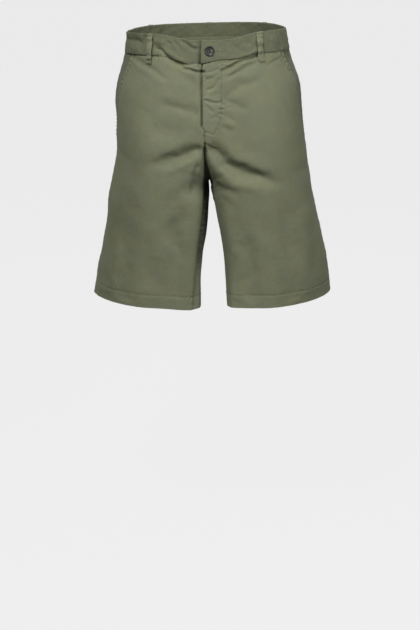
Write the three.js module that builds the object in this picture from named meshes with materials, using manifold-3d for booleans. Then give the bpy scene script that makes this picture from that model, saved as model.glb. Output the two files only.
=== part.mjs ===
// Knee-length chino shorts in cotton twill, in the hollow form they take when they are worn.
// The waist and both hems are open. Millimetres, +Z up, the front faces -Y, the wearer's left is +X,
// and the origin is the middle of the waist, half way up the waistband.
import * as THREE from "three";
import { mergeVertices } from "three/addons/utils/BufferGeometryUtils.js";
import Module from "manifold-3d";

// ---------------------------------------------------------------- driving dimensions

const CLOTH = 1.5;
const SEAM_GAP = 0.3;
const LAYER_GAP = 0.8;
const BAND = {
  height: 38, thick: 2.4, proud: 0.6, underEnd: -0.11, tabEnd: 4.07,
  lapFrom: 0.1, lapTo: 0.26, lapGap: 0.4, columns: 56, rows: 2,
};
const CENTRE_X = 3;
const CROTCH = { y: 12, z: -262 };
const FRONT_SEAM = { x: -5.5, turnZ: -212, halfGap: 0.2 };
const HEM_Z = -491;
const HEM_DEPTH = 26;
const HEM_EXTRA = 1.5;
const WAIST_LINE = {
  tilt: 0.024, sides: 3.5, frontDip: 12, dipFrom: 24, dipTo: 100, backRise: 6, backRiseBy: 110,
  fadeFrom: -20, fadeTo: -150,
};
// Where the waistband's lower seam sags or lifts at the front.
const SEAM_SAGS = [
  { x: -32, width: 30, up: -4.6 },
  { x: 28, width: 18, up: 3.6 },
];
const SEAM_SAG_REACH = 14;
const RISE_TURN = { front: -150, back: -125 };
const RISE_TURN_BLEND = 60;
const RISE_SQUARE = { front: 1.6, back: 2 };
const SIDE_LIFT_AT_CROTCH = 55;
const INNER_HEM_DROP = { depth: 5, fromV: 0.8, reach: 0.3 };
const FLY = {
  lap: 12, footZ: -150, footTop: -141,
  facingWidth: 20, facingInset: 1.4, facingFoot: 2, facingLeast: 0.3, facingThick: 1,
  recess: 2.9, recessWidth: 46, recessFoot: -46, recessTop: -16,
};
const POCKET = { mouthAtWaist: 58, mouthLength: 165, underlap: 14, belowMouth: 4 };
const LOOP = { width: 12, thick: 1.8, belowTop: 0.5, belowBand: 15, beltRoom: 3, rows: 9 };
const BUTTON = { radius: 9, height: 3.2, rim: 1.3, edge: 0.7, dish: 1.1, holeRadius: 0.9, holeStep: 1.7 };

// Each level, from the waist down: how far out the side seams stand (right, left), where they run
// from front to back (rightY, leftY), how deep the front and the back are, how far from the centre
// those deepest lines are, and how square the front's outer corners are (2 is an ellipse).
const LEVELS = [
  { z: 19, right: 150, left: 144, rightY: 2, leftY: 2,
    front: 112, back: 116, frontCrest: 20, backCrest: 24, square: 2.0 },
  { z: -34, right: 158, left: 155, rightY: 4, leftY: 4,
    front: 117, back: 124, frontCrest: 30, backCrest: 42, square: 2.0 },
  { z: -78, right: 172, left: 172, rightY: 8, leftY: 8,
    front: 122, back: 132, frontCrest: 46, backCrest: 62, square: 2.05 },
  { z: -146, right: 174, left: 180, rightY: 12, leftY: 12,
    front: 126, back: 138, frontCrest: 70, backCrest: 80, square: 2.05 },
  { z: -214, right: 176, left: 191, rightY: 18, leftY: 18,
    front: 123, back: 133, frontCrest: 86, backCrest: 88, square: 2.0 },
  { z: -284, right: 191, left: 203, rightY: 24, leftY: 24,
    front: 115, back: 124, frontCrest: 94, backCrest: 96, square: 1.95 },
  { z: -355, right: 200, left: 220, rightY: 30, leftY: 34,
    front: 106, back: 112, frontCrest: 99, backCrest: 100, square: 1.85 },
  { z: -427, right: 216, left: 237, rightY: 36, leftY: 44,
    front: 98, back: 102, frontCrest: 102, backCrest: 104, square: 1.75 },
  { z: -491, right: 228, left: 246, rightY: 36, leftY: 54,
    front: 94, back: 96, frontCrest: 104, backCrest: 106, square: 1.62 },
];

// The inseams, from the crotch down: where each runs (x, y), how far the back panel swells past it
// towards the other leg, and how square the leg is between the inseam and its front and back.
const RIGHT_INSEAM = [
  { z: -262, x: 2.8, y: 12, swell: 0, squareFront: 4.4, squareBack: 2.4 },
  { z: -276, x: -3, y: -12, swell: 2, squareFront: 3.8, squareBack: 2.4 },
  { z: -300, x: -10, y: -50, swell: 8, squareFront: 3.8, squareBack: 2.4 },
  { z: -355, x: -17, y: -75, swell: 14, squareFront: 4, squareBack: 2.5 },
  { z: -427, x: -25, y: -80, swell: 12, squareFront: 3.3, squareBack: 2.6 },
  { z: -491, x: -30, y: -86, swell: 16.5, squareFront: 2.6, squareBack: 2.8 },
];
const LEFT_INSEAM = [
  { z: -262, x: 3.2, y: 12, swell: 0, squareFront: 5.6, squareBack: 2.4 },
  { z: -278, x: 8, y: -8, swell: 0, squareFront: 4.6, squareBack: 2.4 },
  { z: -300, x: 13.5, y: -30, swell: 1, squareFront: 3.4, squareBack: 2.4 },
  { z: -355, x: 24, y: -50, swell: 1.5, squareFront: 3.0, squareBack: 2.5 },
  { z: -427, x: 36, y: -68, swell: 4, squareFront: 2.8, squareBack: 2.6 },
  { z: -491, x: 43, y: -86, swell: 7, squareFront: 2.5, squareBack: 2.7 },
];

// How far each front lies away from the seam at the bottom of the deep fold between the legs.
const SLOT = [
  { z: -180, right: 0, left: 0 },
  { z: -200, right: 0.4, left: 2.4 },
  { z: -222, right: 1.2, left: 5 },
  { z: -240, right: 5, left: 4.4 },
  { z: -262, right: 8.4, left: 3.8 },
  { z: -280, right: 0, left: 0 },
];
const SLOT_TURN = 0.22;
const SLOT_REACH = 0.5;

// The largest folds: where each starts and ends across (x) and up (z), its half width, and its depth,
// which is negative for a trough.
const FOLDS = [
  { face: "front", x1: -24, z1: -184, x2: -92, z2: -202, width: 15, depth: -3.5 },
  { face: "front", x1: 24, z1: -196, x2: 138, z2: -238, width: 16, depth: -4.5 },
  { face: "front", x1: 34, z1: -222, x2: 120, z2: -256, width: 15, depth: 3 },
  { face: "front", x1: 26, z1: -54, x2: 78, z2: -38, width: 17, depth: -3 },
  { face: "front", x1: -88, z1: -42, x2: -26, z2: -56, width: 17, depth: -3 },
  { face: "front", x1: -150, z1: -300, x2: -168, z2: -480, width: 22, depth: 4 },
  { face: "front", x1: 160, z1: -290, x2: 182, z2: -480, width: 22, depth: 4 },
  { face: "front", x1: 88, z1: -300, x2: 96, z2: -480, width: 24, depth: -3 },
  { face: "back", x1: -24, z1: -206, x2: -110, z2: -240, width: 18, depth: -3 },
  { face: "back", x1: 26, z1: -202, x2: 118, z2: -238, width: 18, depth: -2.6 },
  { face: "back", x1: 20, z1: -246, x2: 96, z2: -282, width: 17, depth: 2 },
  { face: "back", x1: -130, z1: -290, x2: -160, z2: -480, width: 24, depth: 4 },
  { face: "back", x1: 132, z1: -300, x2: 170, z2: -480, width: 24, depth: 4 },
];

const ROWS_ABOVE_CROTCH = 11;
const ROWS_BELOW_CROTCH = 9;
const PANEL_COLUMNS = 15;
const ROWS_APART = 0.02;
const CLOSE_ROWS = [0.012, 0.028];
const HEM_STEP = 0.003;
const CROTCH_V = ROWS_ABOVE_CROTCH / (ROWS_ABOVE_CROTCH + ROWS_BELOW_CROTCH);
const HEM_TOP_V = 1 - (HEM_DEPTH / (CROTCH.z - HEM_Z)) * (1 - CROTCH_V);
const BAND_BOTTOM = -BAND.height / 2;
const BAND_TOP = BAND.height / 2;
const QUARTER_LENGTH = 215;
const SWELL_REACH = 0.55;
const TOP_TRIM = { panel: 0.0015, facing: 0.004 };
const NEAR_CROTCH_V = 0.01;
const CALM = { u: 0.14, v: 0.04 };
const SEAM_ZONE = 0.05;
const CREST_SHARE = 0.4;
const LEVEL_SPREAD = 0.75;
const NORMAL_STEP = { u: 0.03, v: 0.004 };
const BAND_STEP = { turn: 0.02, z: 1 };
const RIGHT = -1;
const LEFT = 1;

// ---------------------------------------------------------------- small helpers

const mix = THREE.MathUtils.lerp;
const smooth = (value, from, to) => THREE.MathUtils.smoothstep(value, from, to);

function column(table, name, z) {
  const last = table.length - 1;
  if (z >= table[0].z) return table[0][name];
  if (z <= table[last].z) return table[last][name];
  const below = table.findIndex((row) => row.z < z);
  const above = below - 1;
  const slope = (i) => {
    const high = table[Math.max(i - 1, 0)];
    const low = table[Math.min(i + 1, last)];
    return (high[name] - low[name]) / (high.z - low.z);
  };
  const span = table[below].z - table[above].z;
  const s = (z - table[above].z) / span;
  const start = table[above][name] * (1 + 2 * s) * (1 - s) ** 2 + slope(above) * span * s * (1 - s) ** 2;
  const end = table[below][name] * s * s * (3 - 2 * s) - slope(below) * span * s * s * (1 - s);
  return start + end;
}

// A quarter of a superellipse that leaves `from` along Y and reaches `to` along X.
function quarter(from, to, square, steps = 30) {
  const power = 2 / square;
  return Array.from({ length: steps + 1 }, (_, i) => {
    const angle = (i / steps) * (Math.PI / 2);
    const across = 1 - Math.max(Math.cos(angle), 0) ** power;
    const along = Math.sin(angle) ** power;
    return { x: mix(from.x, to.x, across), y: mix(from.y, to.y, along) };
  });
}

function withLengths(points) {
  let length = 0;
  return points.map((point, i) => {
    if (i > 0) length += Math.hypot(point.x - points[i - 1].x, point.y - points[i - 1].y);
    return { ...point, length };
  });
}

function atShare(line, share) {
  const target = line.at(-1).length * THREE.MathUtils.clamp(share, 0, 1);
  const next = Math.max(line.findIndex((point) => point.length >= target), 1);
  const a = line[next - 1];
  const b = line[next];
  const s = b.length > a.length ? (target - a.length) / (b.length - a.length) : 0;
  return { x: mix(a.x, b.x, s), y: mix(a.y, b.y, s) };
}

// ---------------------------------------------------------------- the form of the shorts

const depthSign = (face) => (face === "front" ? -1 : 1);

// The front or back rise, from the waist seam down and under to the crotch, in even steps of length.
function makeRise(face) {
  const turn = RISE_TURN[face];
  const sign = depthSign(face);
  const steps = 24;
  const down = Array.from({ length: steps }, (_, i) => {
    const z = mix(BAND_BOTTOM, turn, i / steps);
    return { x: sign * column(LEVELS, face, z), y: z };
  });
  const start = { x: sign * column(LEVELS, face, turn), y: turn };
  const under = quarter(start, { x: CROTCH.y, y: CROTCH.z }, RISE_SQUARE[face]);
  return withLengths([...down, ...under]);
}

const RISES = { front: makeRise("front"), back: makeRise("back") };

// Below the fly the front seam lies to the wearer's right, and it comes back where the legs part.
function frontSeamX(z) {
  return mix(FRONT_SEAM.x, CENTRE_X, smooth(-z, -FRONT_SEAM.turnZ, -CROTCH.z));
}

// Where each front ends: the left one as the fly's flap, and the right one under it.
function frontEdgeX(side, z) {
  const end = side === LEFT ? CENTRE_X - FLY.lap : CENTRE_X;
  return mix(frontSeamX(z), end, smooth(z, FLY.footZ, FLY.footTop)) + FRONT_SEAM.halfGap * side;
}

const inseam = (side) => (side === LEFT ? LEFT_INSEAM : RIGHT_INSEAM);

// The panel's inner edge at v, from 0 at the waist seam, past the crotch, to 1 at the hem.
function innerEdge(side, face, v) {
  if (v > CROTCH_V) {
    const z = mix(CROTCH.z, HEM_Z, (v - CROTCH_V) / (1 - CROTCH_V));
    return { x: column(inseam(side), "x", z), y: column(inseam(side), "y", z), z };
  }
  const rise = atShare(RISES[face], v / CROTCH_V);
  const z = rise.y;
  const x = face === "front" ? frontEdgeX(side, z) : CENTRE_X + FRONT_SEAM.halfGap * side;
  return { x, y: rise.x, z };
}

function sideLevel(v) {
  if (v > CROTCH_V) {
    const share = (v - CROTCH_V) / (1 - CROTCH_V);
    return mix(CROTCH.z, HEM_Z, share) + SIDE_LIFT_AT_CROTCH * (1 - share) ** 2;
  }
  return mix(BAND_BOTTOM, CROTCH.z + SIDE_LIFT_AT_CROTCH, v / CROTCH_V);
}

// Above the turn of the rise the cloth between the centre seam and the crest runs straight across.
function planLine(side, face, inner, crestZ, seamZ) {
  const turned = smooth(-inner.z, -RISE_TURN[face], -RISE_TURN[face] + RISE_TURN_BLEND);
  const crest = {
    x: CENTRE_X + side * column(LEVELS, `${face}Crest`, crestZ),
    y: depthSign(face) * column(LEVELS, face, mix(inner.z, crestZ, turned)),
  };
  const seam = {
    x: side * column(LEVELS, side === LEFT ? "left" : "right", seamZ),
    y: column(LEVELS, side === LEFT ? "leftY" : "rightY", seamZ),
  };
  const squareInside = column(inseam(side), face === "front" ? "squareFront" : "squareBack", inner.z);
  const inside = quarter(inner, crest, squareInside);
  const swell = face === "back" ? column(inseam(side), "swell", inner.z) : 0;
  const slot = face === "front" ? column(SLOT, side === LEFT ? "left" : "right", inner.z) : 0;
  inside.forEach((point) => {
    const deep = THREE.MathUtils.clamp((point.y - inner.y) / (crest.y - inner.y || 1), 0, 1);
    const out = (point.x - inner.x) / (crest.x - inner.x);
    point.x -= side * swell * Math.sin(Math.PI * deep ** SWELL_REACH);
    point.x += side * slot * smooth(deep, 0, SLOT_TURN) * (1 - smooth(out, 0, SLOT_REACH));
  });
  const outer = quarter(seam, crest, face === "front" ? column(LEVELS, "square", crestZ) : 2).reverse();
  return withLengths([...inside, ...outer.slice(1)]);
}

const bump = (distance) => Math.exp(-(distance ** 2));

function seamSag(x, z) {
  const near = bump((z - BAND_BOTTOM) / SEAM_SAG_REACH);
  return near * SEAM_SAGS.reduce((sum, sag) => sum + sag.up * bump((x - sag.x) / sag.width), 0);
}

// The waist line dips at the centre front and rises a little towards the centre back.
function onWaistLine(x, y, z) {
  const share = smooth(z, WAIST_LINE.fadeTo, WAIST_LINE.fadeFrom);
  const fromCentre = Math.abs(x - CENTRE_X);
  const dip = WAIST_LINE.frontDip * (1 - smooth(fromCentre, WAIST_LINE.dipFrom, WAIST_LINE.dipTo));
  const backRise = WAIST_LINE.backRise * smooth(y, 0, WAIST_LINE.backRiseBy);
  const level = WAIST_LINE.sides + (y < 0 ? -dip : backRise);
  const sag = y < 0 ? seamSag(x, z) : 0;
  return new THREE.Vector3(x, y, z + share * (WAIST_LINE.tilt * x + level) + sag);
}

// The bare form at u, from 0 at the inner edge to 1 at the side seam.
function formPoint(side, face, u, v) {
  const inner = innerEdge(side, face, v);
  const seamZ = sideLevel(v);
  const spread = (share) => mix(inner.z, seamZ, smooth(share, 0, LEVEL_SPREAD));
  const line = planLine(side, face, inner, spread(CREST_SHARE), seamZ);
  const { x, y } = atShare(line, u);
  const drop = side === RIGHT ? INNER_HEM_DROP.depth * smooth(v, INNER_HEM_DROP.fromV, 1) : 0;
  return onWaistLine(x, y, spread(u) - drop * (1 - smooth(u, 0, INNER_HEM_DROP.reach)));
}

function formNormal(side, face, u, v) {
  const onPanel = (value) => THREE.MathUtils.clamp(value, 0, 1);
  const at = (a, b) => formPoint(side, face, onPanel(a), onPanel(b));
  const alongU = at(u + NORMAL_STEP.u, v).sub(at(u - NORMAL_STEP.u, v));
  const alongV = at(u, v + NORMAL_STEP.v).sub(at(u, v - NORMAL_STEP.v));
  return alongU.cross(alongV).normalize().multiplyScalar(side * depthSign(face));
}

// The way out of the cloth. At an inseam it lies between those of the two panels that meet there, and
// it has no share along Y there or at a side seam, so that the two panels have the same one.
function outward(side, face, u, v) {
  const normal = formNormal(side, face, u, v);
  const atInseam = v >= CROTCH_V ? 1 - smooth(u, 0, SEAM_ZONE) : 0;
  if (atInseam > 0) {
    const other = formNormal(side, face === "front" ? "back" : "front", u, v);
    normal.addScaledVector(other, atInseam);
  }
  normal.y *= 1 - Math.max(smooth(u, 1 - SEAM_ZONE, 1), atInseam);
  return normal.normalize();
}

function foldDepth(face, x, z) {
  return FOLDS.filter((fold) => fold.face === face).reduce((sum, fold) => {
    const dx = fold.x2 - fold.x1;
    const dz = fold.z2 - fold.z1;
    const share = ((x - fold.x1) * dx + (z - fold.z1) * dz) / (dx * dx + dz * dz);
    const near = THREE.MathUtils.clamp(share, 0, 1);
    const away = Math.hypot(x - fold.x1 - near * dx, z - fold.z1 - near * dz);
    return sum + fold.depth * bump(away / fold.width);
  }, 0);
}

// Behind the fly flap, the right front lies back by one cloth.
function recess(side, face, x, z) {
  if (side === LEFT || face === "back") return 0;
  const nearCentre = smooth(x, CENTRE_X - FLY.recessWidth, CENTRE_X - FLY.lap);
  return FLY.recess * nearCentre * smooth(z, FLY.footZ + FLY.recessFoot, FLY.footZ + FLY.recessTop);
}

// A point of a panel's outer surface, moved out by `offset`, with the panel's folds.
function panelPoint(side, face, u, v, offset = 0) {
  const base = formPoint(side, face, u, v);
  const calm = smooth(u, 0, CALM.u) * smooth(v, 0, CALM.v);
  const move = offset + calm * foldDepth(face, base.x, base.z) - recess(side, face, base.x, base.z);
  const point = base.clone().addScaledVector(outward(side, face, u, v), move);
  const edge = innerEdge(side, face, v).x;
  if (v <= CROTCH_V && side * (point.x - edge) < 0) point.x = edge;
  return point;
}

function levelPoint(side, face, u, z) {
  const inner = { x: CENTRE_X, y: depthSign(face) * column(LEVELS, face, z), z };
  const { x, y } = atShare(planLine(side, face, inner, z, z), u);
  return onWaistLine(x, y, z);
}

// The waistband runs round as `turn` goes from 0 at the centre front, by the right side (1),
// the centre back (2) and the left side (3), to the centre front again (4).
function bandSide(turn) {
  if (turn < 0) return { side: LEFT, face: "front", u: -turn };
  if (turn < 1) return { side: RIGHT, face: "front", u: turn };
  if (turn < 2) return { side: RIGHT, face: "back", u: 2 - turn };
  if (turn < 3) return { side: LEFT, face: "back", u: turn - 2 };
  if (turn < 4) return { side: LEFT, face: "front", u: 4 - turn };
  return { side: RIGHT, face: "front", u: turn - 4 };
}

function bandPoint(turn, z, offset) {
  const at = (t, height) => {
    const { side, face, u } = bandSide(t);
    return levelPoint(side, face, u, height);
  };
  const around = at(turn + BAND_STEP.turn, z).sub(at(turn - BAND_STEP.turn, z));
  const up = at(turn, z + BAND_STEP.z).sub(at(turn, z - BAND_STEP.z));
  return at(turn, z).addScaledVector(up.cross(around).normalize(), offset);
}

// ---------------------------------------------------------------- walls from two grids

function wall(outer, inner) {
  const rows = outer.length;
  const columns = outer[0].length;
  const vertices = [...outer.flat(), ...inner.flat()];
  const index = (layer, row, col) => layer * rows * columns + row * columns + col;
  const triangles = [];
  const quad = (a, b, c, d) => triangles.push(a, b, c, a, c, d);
  for (let r = 0; r < rows - 1; r++) {
    for (let c = 0; c < columns - 1; c++) {
      quad(index(0, r, c), index(0, r + 1, c), index(0, r + 1, c + 1), index(0, r, c + 1));
      quad(index(1, r, c), index(1, r, c + 1), index(1, r + 1, c + 1), index(1, r + 1, c));
    }
  }
  const lastRow = rows - 1;
  for (let c = 0; c < columns - 1; c++) {
    quad(index(0, 0, c), index(0, 0, c + 1), index(1, 0, c + 1), index(1, 0, c));
    quad(index(0, lastRow, c + 1), index(0, lastRow, c), index(1, lastRow, c), index(1, lastRow, c + 1));
  }
  const last = columns - 1;
  for (let r = 0; r < rows - 1; r++) {
    quad(index(0, r + 1, 0), index(0, r, 0), index(1, r, 0), index(1, r + 1, 0));
    quad(index(0, r, last), index(0, r + 1, last), index(1, r + 1, last), index(1, r, last));
  }
  return facingOut(vertices, triangles);
}

function signedVolume(vertices, triangles) {
  let volume = 0;
  for (let i = 0; i < triangles.length; i += 3) {
    const [a, b, c] = [0, 1, 2].map((k) => vertices[triangles[i + k]]);
    volume += a.dot(b.clone().cross(c));
  }
  return volume;
}

function facingOut(vertices, triangles) {
  if (signedVolume(vertices, triangles) < 0) triangles.reverse();
  const geometry = new THREE.BufferGeometry().setFromPoints(vertices);
  geometry.setIndex(triangles);
  geometry.computeVertexNormals();
  return geometry;
}

// Even numbers from one to another, both of them included.
function steps(count, from = 0, to = 1) {
  return Array.from({ length: count + 1 }, (_, i) => mix(from, to, i / count));
}

// ---------------------------------------------------------------- the cut pieces

// How far the pocket mouth stands forward of the side seam, as a share of the panel's width.
function mouthShare(side, v) {
  const below = (BAND_BOTTOM - sideLevel(v)) / POCKET.mouthLength;
  const width = POCKET.mouthAtWaist * Math.max(1 - below * below, 0);
  return width / panelWidth(side, "front", v);
}

function panelWidth(side, face, v) {
  const inner = innerEdge(side, face, v);
  const seamZ = sideLevel(v);
  return planLine(side, face, inner, mix(inner.z, seamZ, 0.5), seamZ).at(-1).length;
}

// Even rows, with closer ones just below the crotch and where the hem's fold ends.
function panelRows() {
  const rows = steps(ROWS_ABOVE_CROTCH + ROWS_BELOW_CROTCH);
  const even = rows.filter((v) => Math.abs(v - HEM_TOP_V) > ROWS_APART);
  const belowCrotch = CLOSE_ROWS.map((below) => CROTCH_V + below);
  return [...even, ...belowCrotch, HEM_TOP_V - HEM_STEP, HEM_TOP_V].sort((a, b) => a - b);
}

function panel(side, face) {
  const grid = (offsetAt) => panelRows().map((v) => {
    const trim = SEAM_GAP / 2 / panelWidth(side, face, v);
    const from = v > CROTCH_V - NEAR_CROTCH_V ? trim : 0;
    const to = 1 - trim - (face === "front" ? mouthShare(side, v) : 0);
    const row = Math.max(v, TOP_TRIM.panel);
    return steps(PANEL_COLUMNS, from, to).map((u) => panelPoint(side, face, u, row, offsetAt(v)));
  });
  return wall(grid(() => 0), grid((v) => -CLOTH - (v >= HEM_TOP_V ? HEM_EXTRA : 0)));
}

function waistband() {
  const turns = steps(BAND.columns, BAND.underEnd, BAND.tabEnd);
  const heights = steps(BAND.rows, BAND_TOP, BAND_BOTTOM);
  const lowered = (turn) => (BAND.thick + BAND.lapGap) * (1 - smooth(turn, BAND.lapFrom, BAND.lapTo));
  const row = (z, offset) => turns.map((turn) => bandPoint(turn, z, offset - lowered(turn)));
  const grid = (offset) => heights.map((z) => row(z, offset));
  return wall(grid(BAND.proud), grid(BAND.proud - BAND.thick));
}

function flyFacing() {
  const shift = CLOTH + LAYER_GAP;
  const rows = steps(10, TOP_TRIM.facing, vAtLevel(LEFT, "front", 0.1, FLY.footZ + FLY.facingFoot));
  const grid = (offset) => rows.map((v, i) => {
    const width = panelWidth(LEFT, "front", v);
    const from = (FLY.lap + FLY.facingInset) / width;
    const curve = Math.sqrt(Math.max(1 - (i / rows.length) ** 6, 0));
    const across = (FLY.facingWidth * Math.max(curve, FLY.facingLeast)) / width;
    return steps(3, from, from + across).map((u) => panelPoint(LEFT, "front", u, v, offset));
  });
  return wall(grid(-shift), grid(-shift - FLY.facingThick));
}

function pocketFacing(side) {
  const bottom = vAtSide(BAND_BOTTOM - POCKET.mouthLength - POCKET.belowMouth);
  const grid = (depth) => steps(9, TOP_TRIM.facing, bottom).map((v) => {
    const width = panelWidth(side, "front", v);
    const under = mouthShare(side, v) + POCKET.underlap / width;
    const trim = SEAM_GAP / 2 / width;
    const offset = -CLOTH - LAYER_GAP - depth;
    return steps(5, 1 - under, 1 - trim).map((u) => panelPoint(side, "front", u, v, offset));
  });
  return wall(grid(0), grid(1));
}

function vAtSide(z) {
  return (CROTCH_V * (BAND_BOTTOM - z)) / (BAND_BOTTOM - CROTCH.z - SIDE_LIFT_AT_CROTCH);
}

function vAtLevel(side, face, u, z) {
  let low = 0;
  let high = CROTCH_V;
  for (let i = 0; i < 24; i++) {
    const middle = (low + high) / 2;
    if (formPoint(side, face, u, middle).z > z) low = middle;
    else high = middle;
  }
  return (low + high) / 2;
}

// A belt loop is sewn down at the top of the waistband and below its seam, with room for a belt.
function beltLoop(turn) {
  const surface = (across, z, offset) => {
    const place = turn + across / QUARTER_LENGTH;
    if (z >= BAND_BOTTOM) return bandPoint(place, z, offset);
    const { side, face, u } = bandSide(place);
    const level = formPoint(side, face, u, 0).z + z - BAND_BOTTOM;
    return panelPoint(side, face, u, vAtLevel(side, face, u, level), offset);
  };
  const heights = steps(LOOP.rows, BAND_TOP - LOOP.belowTop, BAND_BOTTOM - LOOP.belowBand);
  const grid = (thick) => heights.map((z, i) => {
    const room = LOOP.beltRoom * Math.sin((Math.PI * i) / LOOP.rows) ** 0.6;
    const offset = BAND.proud + LAYER_GAP + room + thick;
    return steps(2, -LOOP.width / 2, LOOP.width / 2).map((across) => surface(across, z, offset));
  });
  return wall(grid(LOOP.thick), grid(0));
}

// ---------------------------------------------------------------- the button

const wasm = await Module();
wasm.setup();

function solid(geometry) {
  const bare = geometry.clone();
  bare.deleteAttribute("normal");
  bare.deleteAttribute("uv");
  const merged = mergeVertices(bare, 1e-4);
  const vertProperties = new Float32Array(merged.attributes.position.array);
  const triVerts = new Uint32Array(merged.index.array);
  return new wasm.Manifold(new wasm.Mesh({ numProp: 3, vertProperties, triVerts }));
}

function fromSolid(manifold) {
  const mesh = manifold.getMesh();
  const geometry = new THREE.BufferGeometry();
  geometry.setAttribute("position", new THREE.BufferAttribute(mesh.vertProperties, 3));
  geometry.setIndex(new THREE.BufferAttribute(mesh.triVerts, 1));
  geometry.computeVertexNormals();
  return geometry;
}

function buttonGeometry() {
  const { radius, height, rim, edge, dish, holeRadius, holeStep } = BUTTON;
  const profile = [
    [0, 0], [radius - edge, 0], [radius, edge], [radius, height - edge], [radius - edge, height],
    [radius - edge - rim, height], [radius - 2 * edge - rim, height - dish], [0, height - dish],
  ].map(([r, h]) => new THREE.Vector2(r, h));
  const disc = solid(new THREE.LatheGeometry(profile, 24));
  const corners = [[1, 1], [1, -1], [-1, 1], [-1, -1]];
  const drilled = corners.reduce((rest, [a, b]) => {
    const drill = new THREE.CylinderGeometry(holeRadius, holeRadius, 3 * height, 8);
    drill.translate(a * holeStep, height / 2, b * holeStep);
    return rest.subtract(solid(drill));
  }, disc);
  return fromSolid(drilled);
}

// ---------------------------------------------------------------- the whole garment

const cloth = { roughness: 0.9, side: THREE.DoubleSide };
const twill = new THREE.MeshStandardMaterial({ color: "#6d715b", ...cloth });
const twillShaded = new THREE.MeshStandardMaterial({ color: "#626556", ...cloth });
const resin = new THREE.MeshStandardMaterial({ color: "#4b4848", roughness: 0.45 });

const shorts = new THREE.Group();

function add(name, geometry, material) {
  const mesh = new THREE.Mesh(geometry, material);
  mesh.name = name;
  shorts.add(mesh);
  return mesh;
}

add("front_right", panel(RIGHT, "front"), twill);
add("front_left", panel(LEFT, "front"), twill);
add("back_right", panel(RIGHT, "back"), twill);
add("back_left", panel(LEFT, "back"), twill);
add("waistband", waistband(), twill);
add("fly_facing", flyFacing(), twillShaded);
add("pocket_facing_right", pocketFacing(RIGHT), twillShaded);
add("pocket_facing_left", pocketFacing(LEFT), twillShaded);
add("belt_loop_front_right", beltLoop(0.522), twill);
add("belt_loop_back_right", beltLoop(1.45), twill);
add("belt_loop_centre_back", beltLoop(2), twill);
add("belt_loop_back_left", beltLoop(2.55), twill);
add("belt_loop_front_left", beltLoop(3.55), twill);

const button = add("button", buttonGeometry(), resin);
button.position.copy(bandPoint(4, 0, BAND.proud + SEAM_GAP));
const buttonAxis = bandPoint(4, 0, 1).sub(bandPoint(4, 0, 0));
button.quaternion.setFromUnitVectors(new THREE.Vector3(0, 1, 0), buttonAxis.normalize());

export default shorts;
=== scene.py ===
"""Knee-length chino shorts in olive cotton twill, worn and hollow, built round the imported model.

The tables are in millimetres, as in the part's source; every mesh is made in metres.
"""
import math

import bpy
import numpy as np
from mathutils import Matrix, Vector


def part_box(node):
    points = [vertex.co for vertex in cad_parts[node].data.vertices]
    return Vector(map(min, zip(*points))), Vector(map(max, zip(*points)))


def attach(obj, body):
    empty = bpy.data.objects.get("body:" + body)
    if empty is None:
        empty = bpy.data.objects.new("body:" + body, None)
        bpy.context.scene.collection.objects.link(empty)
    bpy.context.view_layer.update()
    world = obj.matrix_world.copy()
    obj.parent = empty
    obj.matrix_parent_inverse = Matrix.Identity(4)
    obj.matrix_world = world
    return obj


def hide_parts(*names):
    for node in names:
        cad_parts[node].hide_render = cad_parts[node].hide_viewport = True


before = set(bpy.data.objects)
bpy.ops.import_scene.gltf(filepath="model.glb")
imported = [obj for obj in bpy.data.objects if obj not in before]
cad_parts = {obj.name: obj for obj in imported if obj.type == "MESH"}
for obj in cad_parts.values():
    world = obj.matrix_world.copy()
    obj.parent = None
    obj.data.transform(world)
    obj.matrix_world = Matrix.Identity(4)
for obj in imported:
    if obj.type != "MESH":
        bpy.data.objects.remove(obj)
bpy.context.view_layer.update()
MM = 0.001

# ------------------------------------------------------------------ sizes, in millimetres

CLOTH = 1.1
LAYER = 0.45
RIM_BULGE, RIM_BULGE_MOST = 0.35, 0.12
SEAM_HALF_GAP = 0.02
BAND_HEIGHT = 38.0
BAND_TOP = BAND_HEIGHT / 2
BAND_BOTTOM = -BAND_HEIGHT / 2
BAND_THICK = 2.2
BAND_PROUD = 0.9
BAND_UNDER_END = -0.11
BAND_TAB_END = 4.07
CENTRE_X = 3.0
CROTCH_Y, CROTCH_Z = 12.0, -262.0
LOWER_SEAM_X = -5.5
SEAM_TURN_Z = -212.0
HEM_Z = -491.0
HEM_DEPTH = 26.0
WAIST_LINE = dict(tilt=0.024, sides=3.5, front_dip=12.0, dip_from=24.0, dip_to=100.0, back_rise=6.0)
# Where the waistband's lower seam sags or lifts at the front: across, how wide, how far up.
SEAM_SAGS, SEAM_SAG_REACH = [(-32, 30, -4.6), (28, 18, 3.6)], 14.0
WAIST_FADE = (-150.0, -20.0)
RISE_TURN = {"front": -150.0, "back": -125.0}
RISE_SQUARE = {"front": 1.6, "back": 2.0}
SIDE_LIFT_AT_CROTCH = 55.0
FLY_LAP, FLY_FOOT_Z, FLY_FOOT_TOP = 12.0, -150.0, -141.0
FLY_RECESS, FLY_RECESS_WIDTH, FLY_FALL = 2.1, 46.0, 5.4
POCKET_AT_WAIST, POCKET_LENGTH, POCKET_UNDERLAP = 58.0, 165.0, 14.0
MOUTH_STITCH = 6.5
LOOP_WIDTH, LOOP_THICK, LOOP_BELOW_BAND, LOOP_CUT = 12.0, 1.8, 15.0, 68.0
LOOP_TACK = 5.5
BUTTON_RADIUS, BUTTON_HEIGHT, BUTTON_HOLE_STEP = 9.0, 3.2, 1.75
BAND_STITCH_IN, TAB_STITCH_IN = 3.0, 3.2
QUARTER_LENGTH = 215.0
PANEL_LENGTH = 470
FLY_FACING_WIDTH = 31.0
# How far back the inner leg swells (an exponent), and how sharply, at the hem and further up.
SWELL_AT_HEM, SWELL_ABOVE, SWELL_CHANGE = (0.42, 1.0), (0.6, 2.0), (-440, -395)
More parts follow.
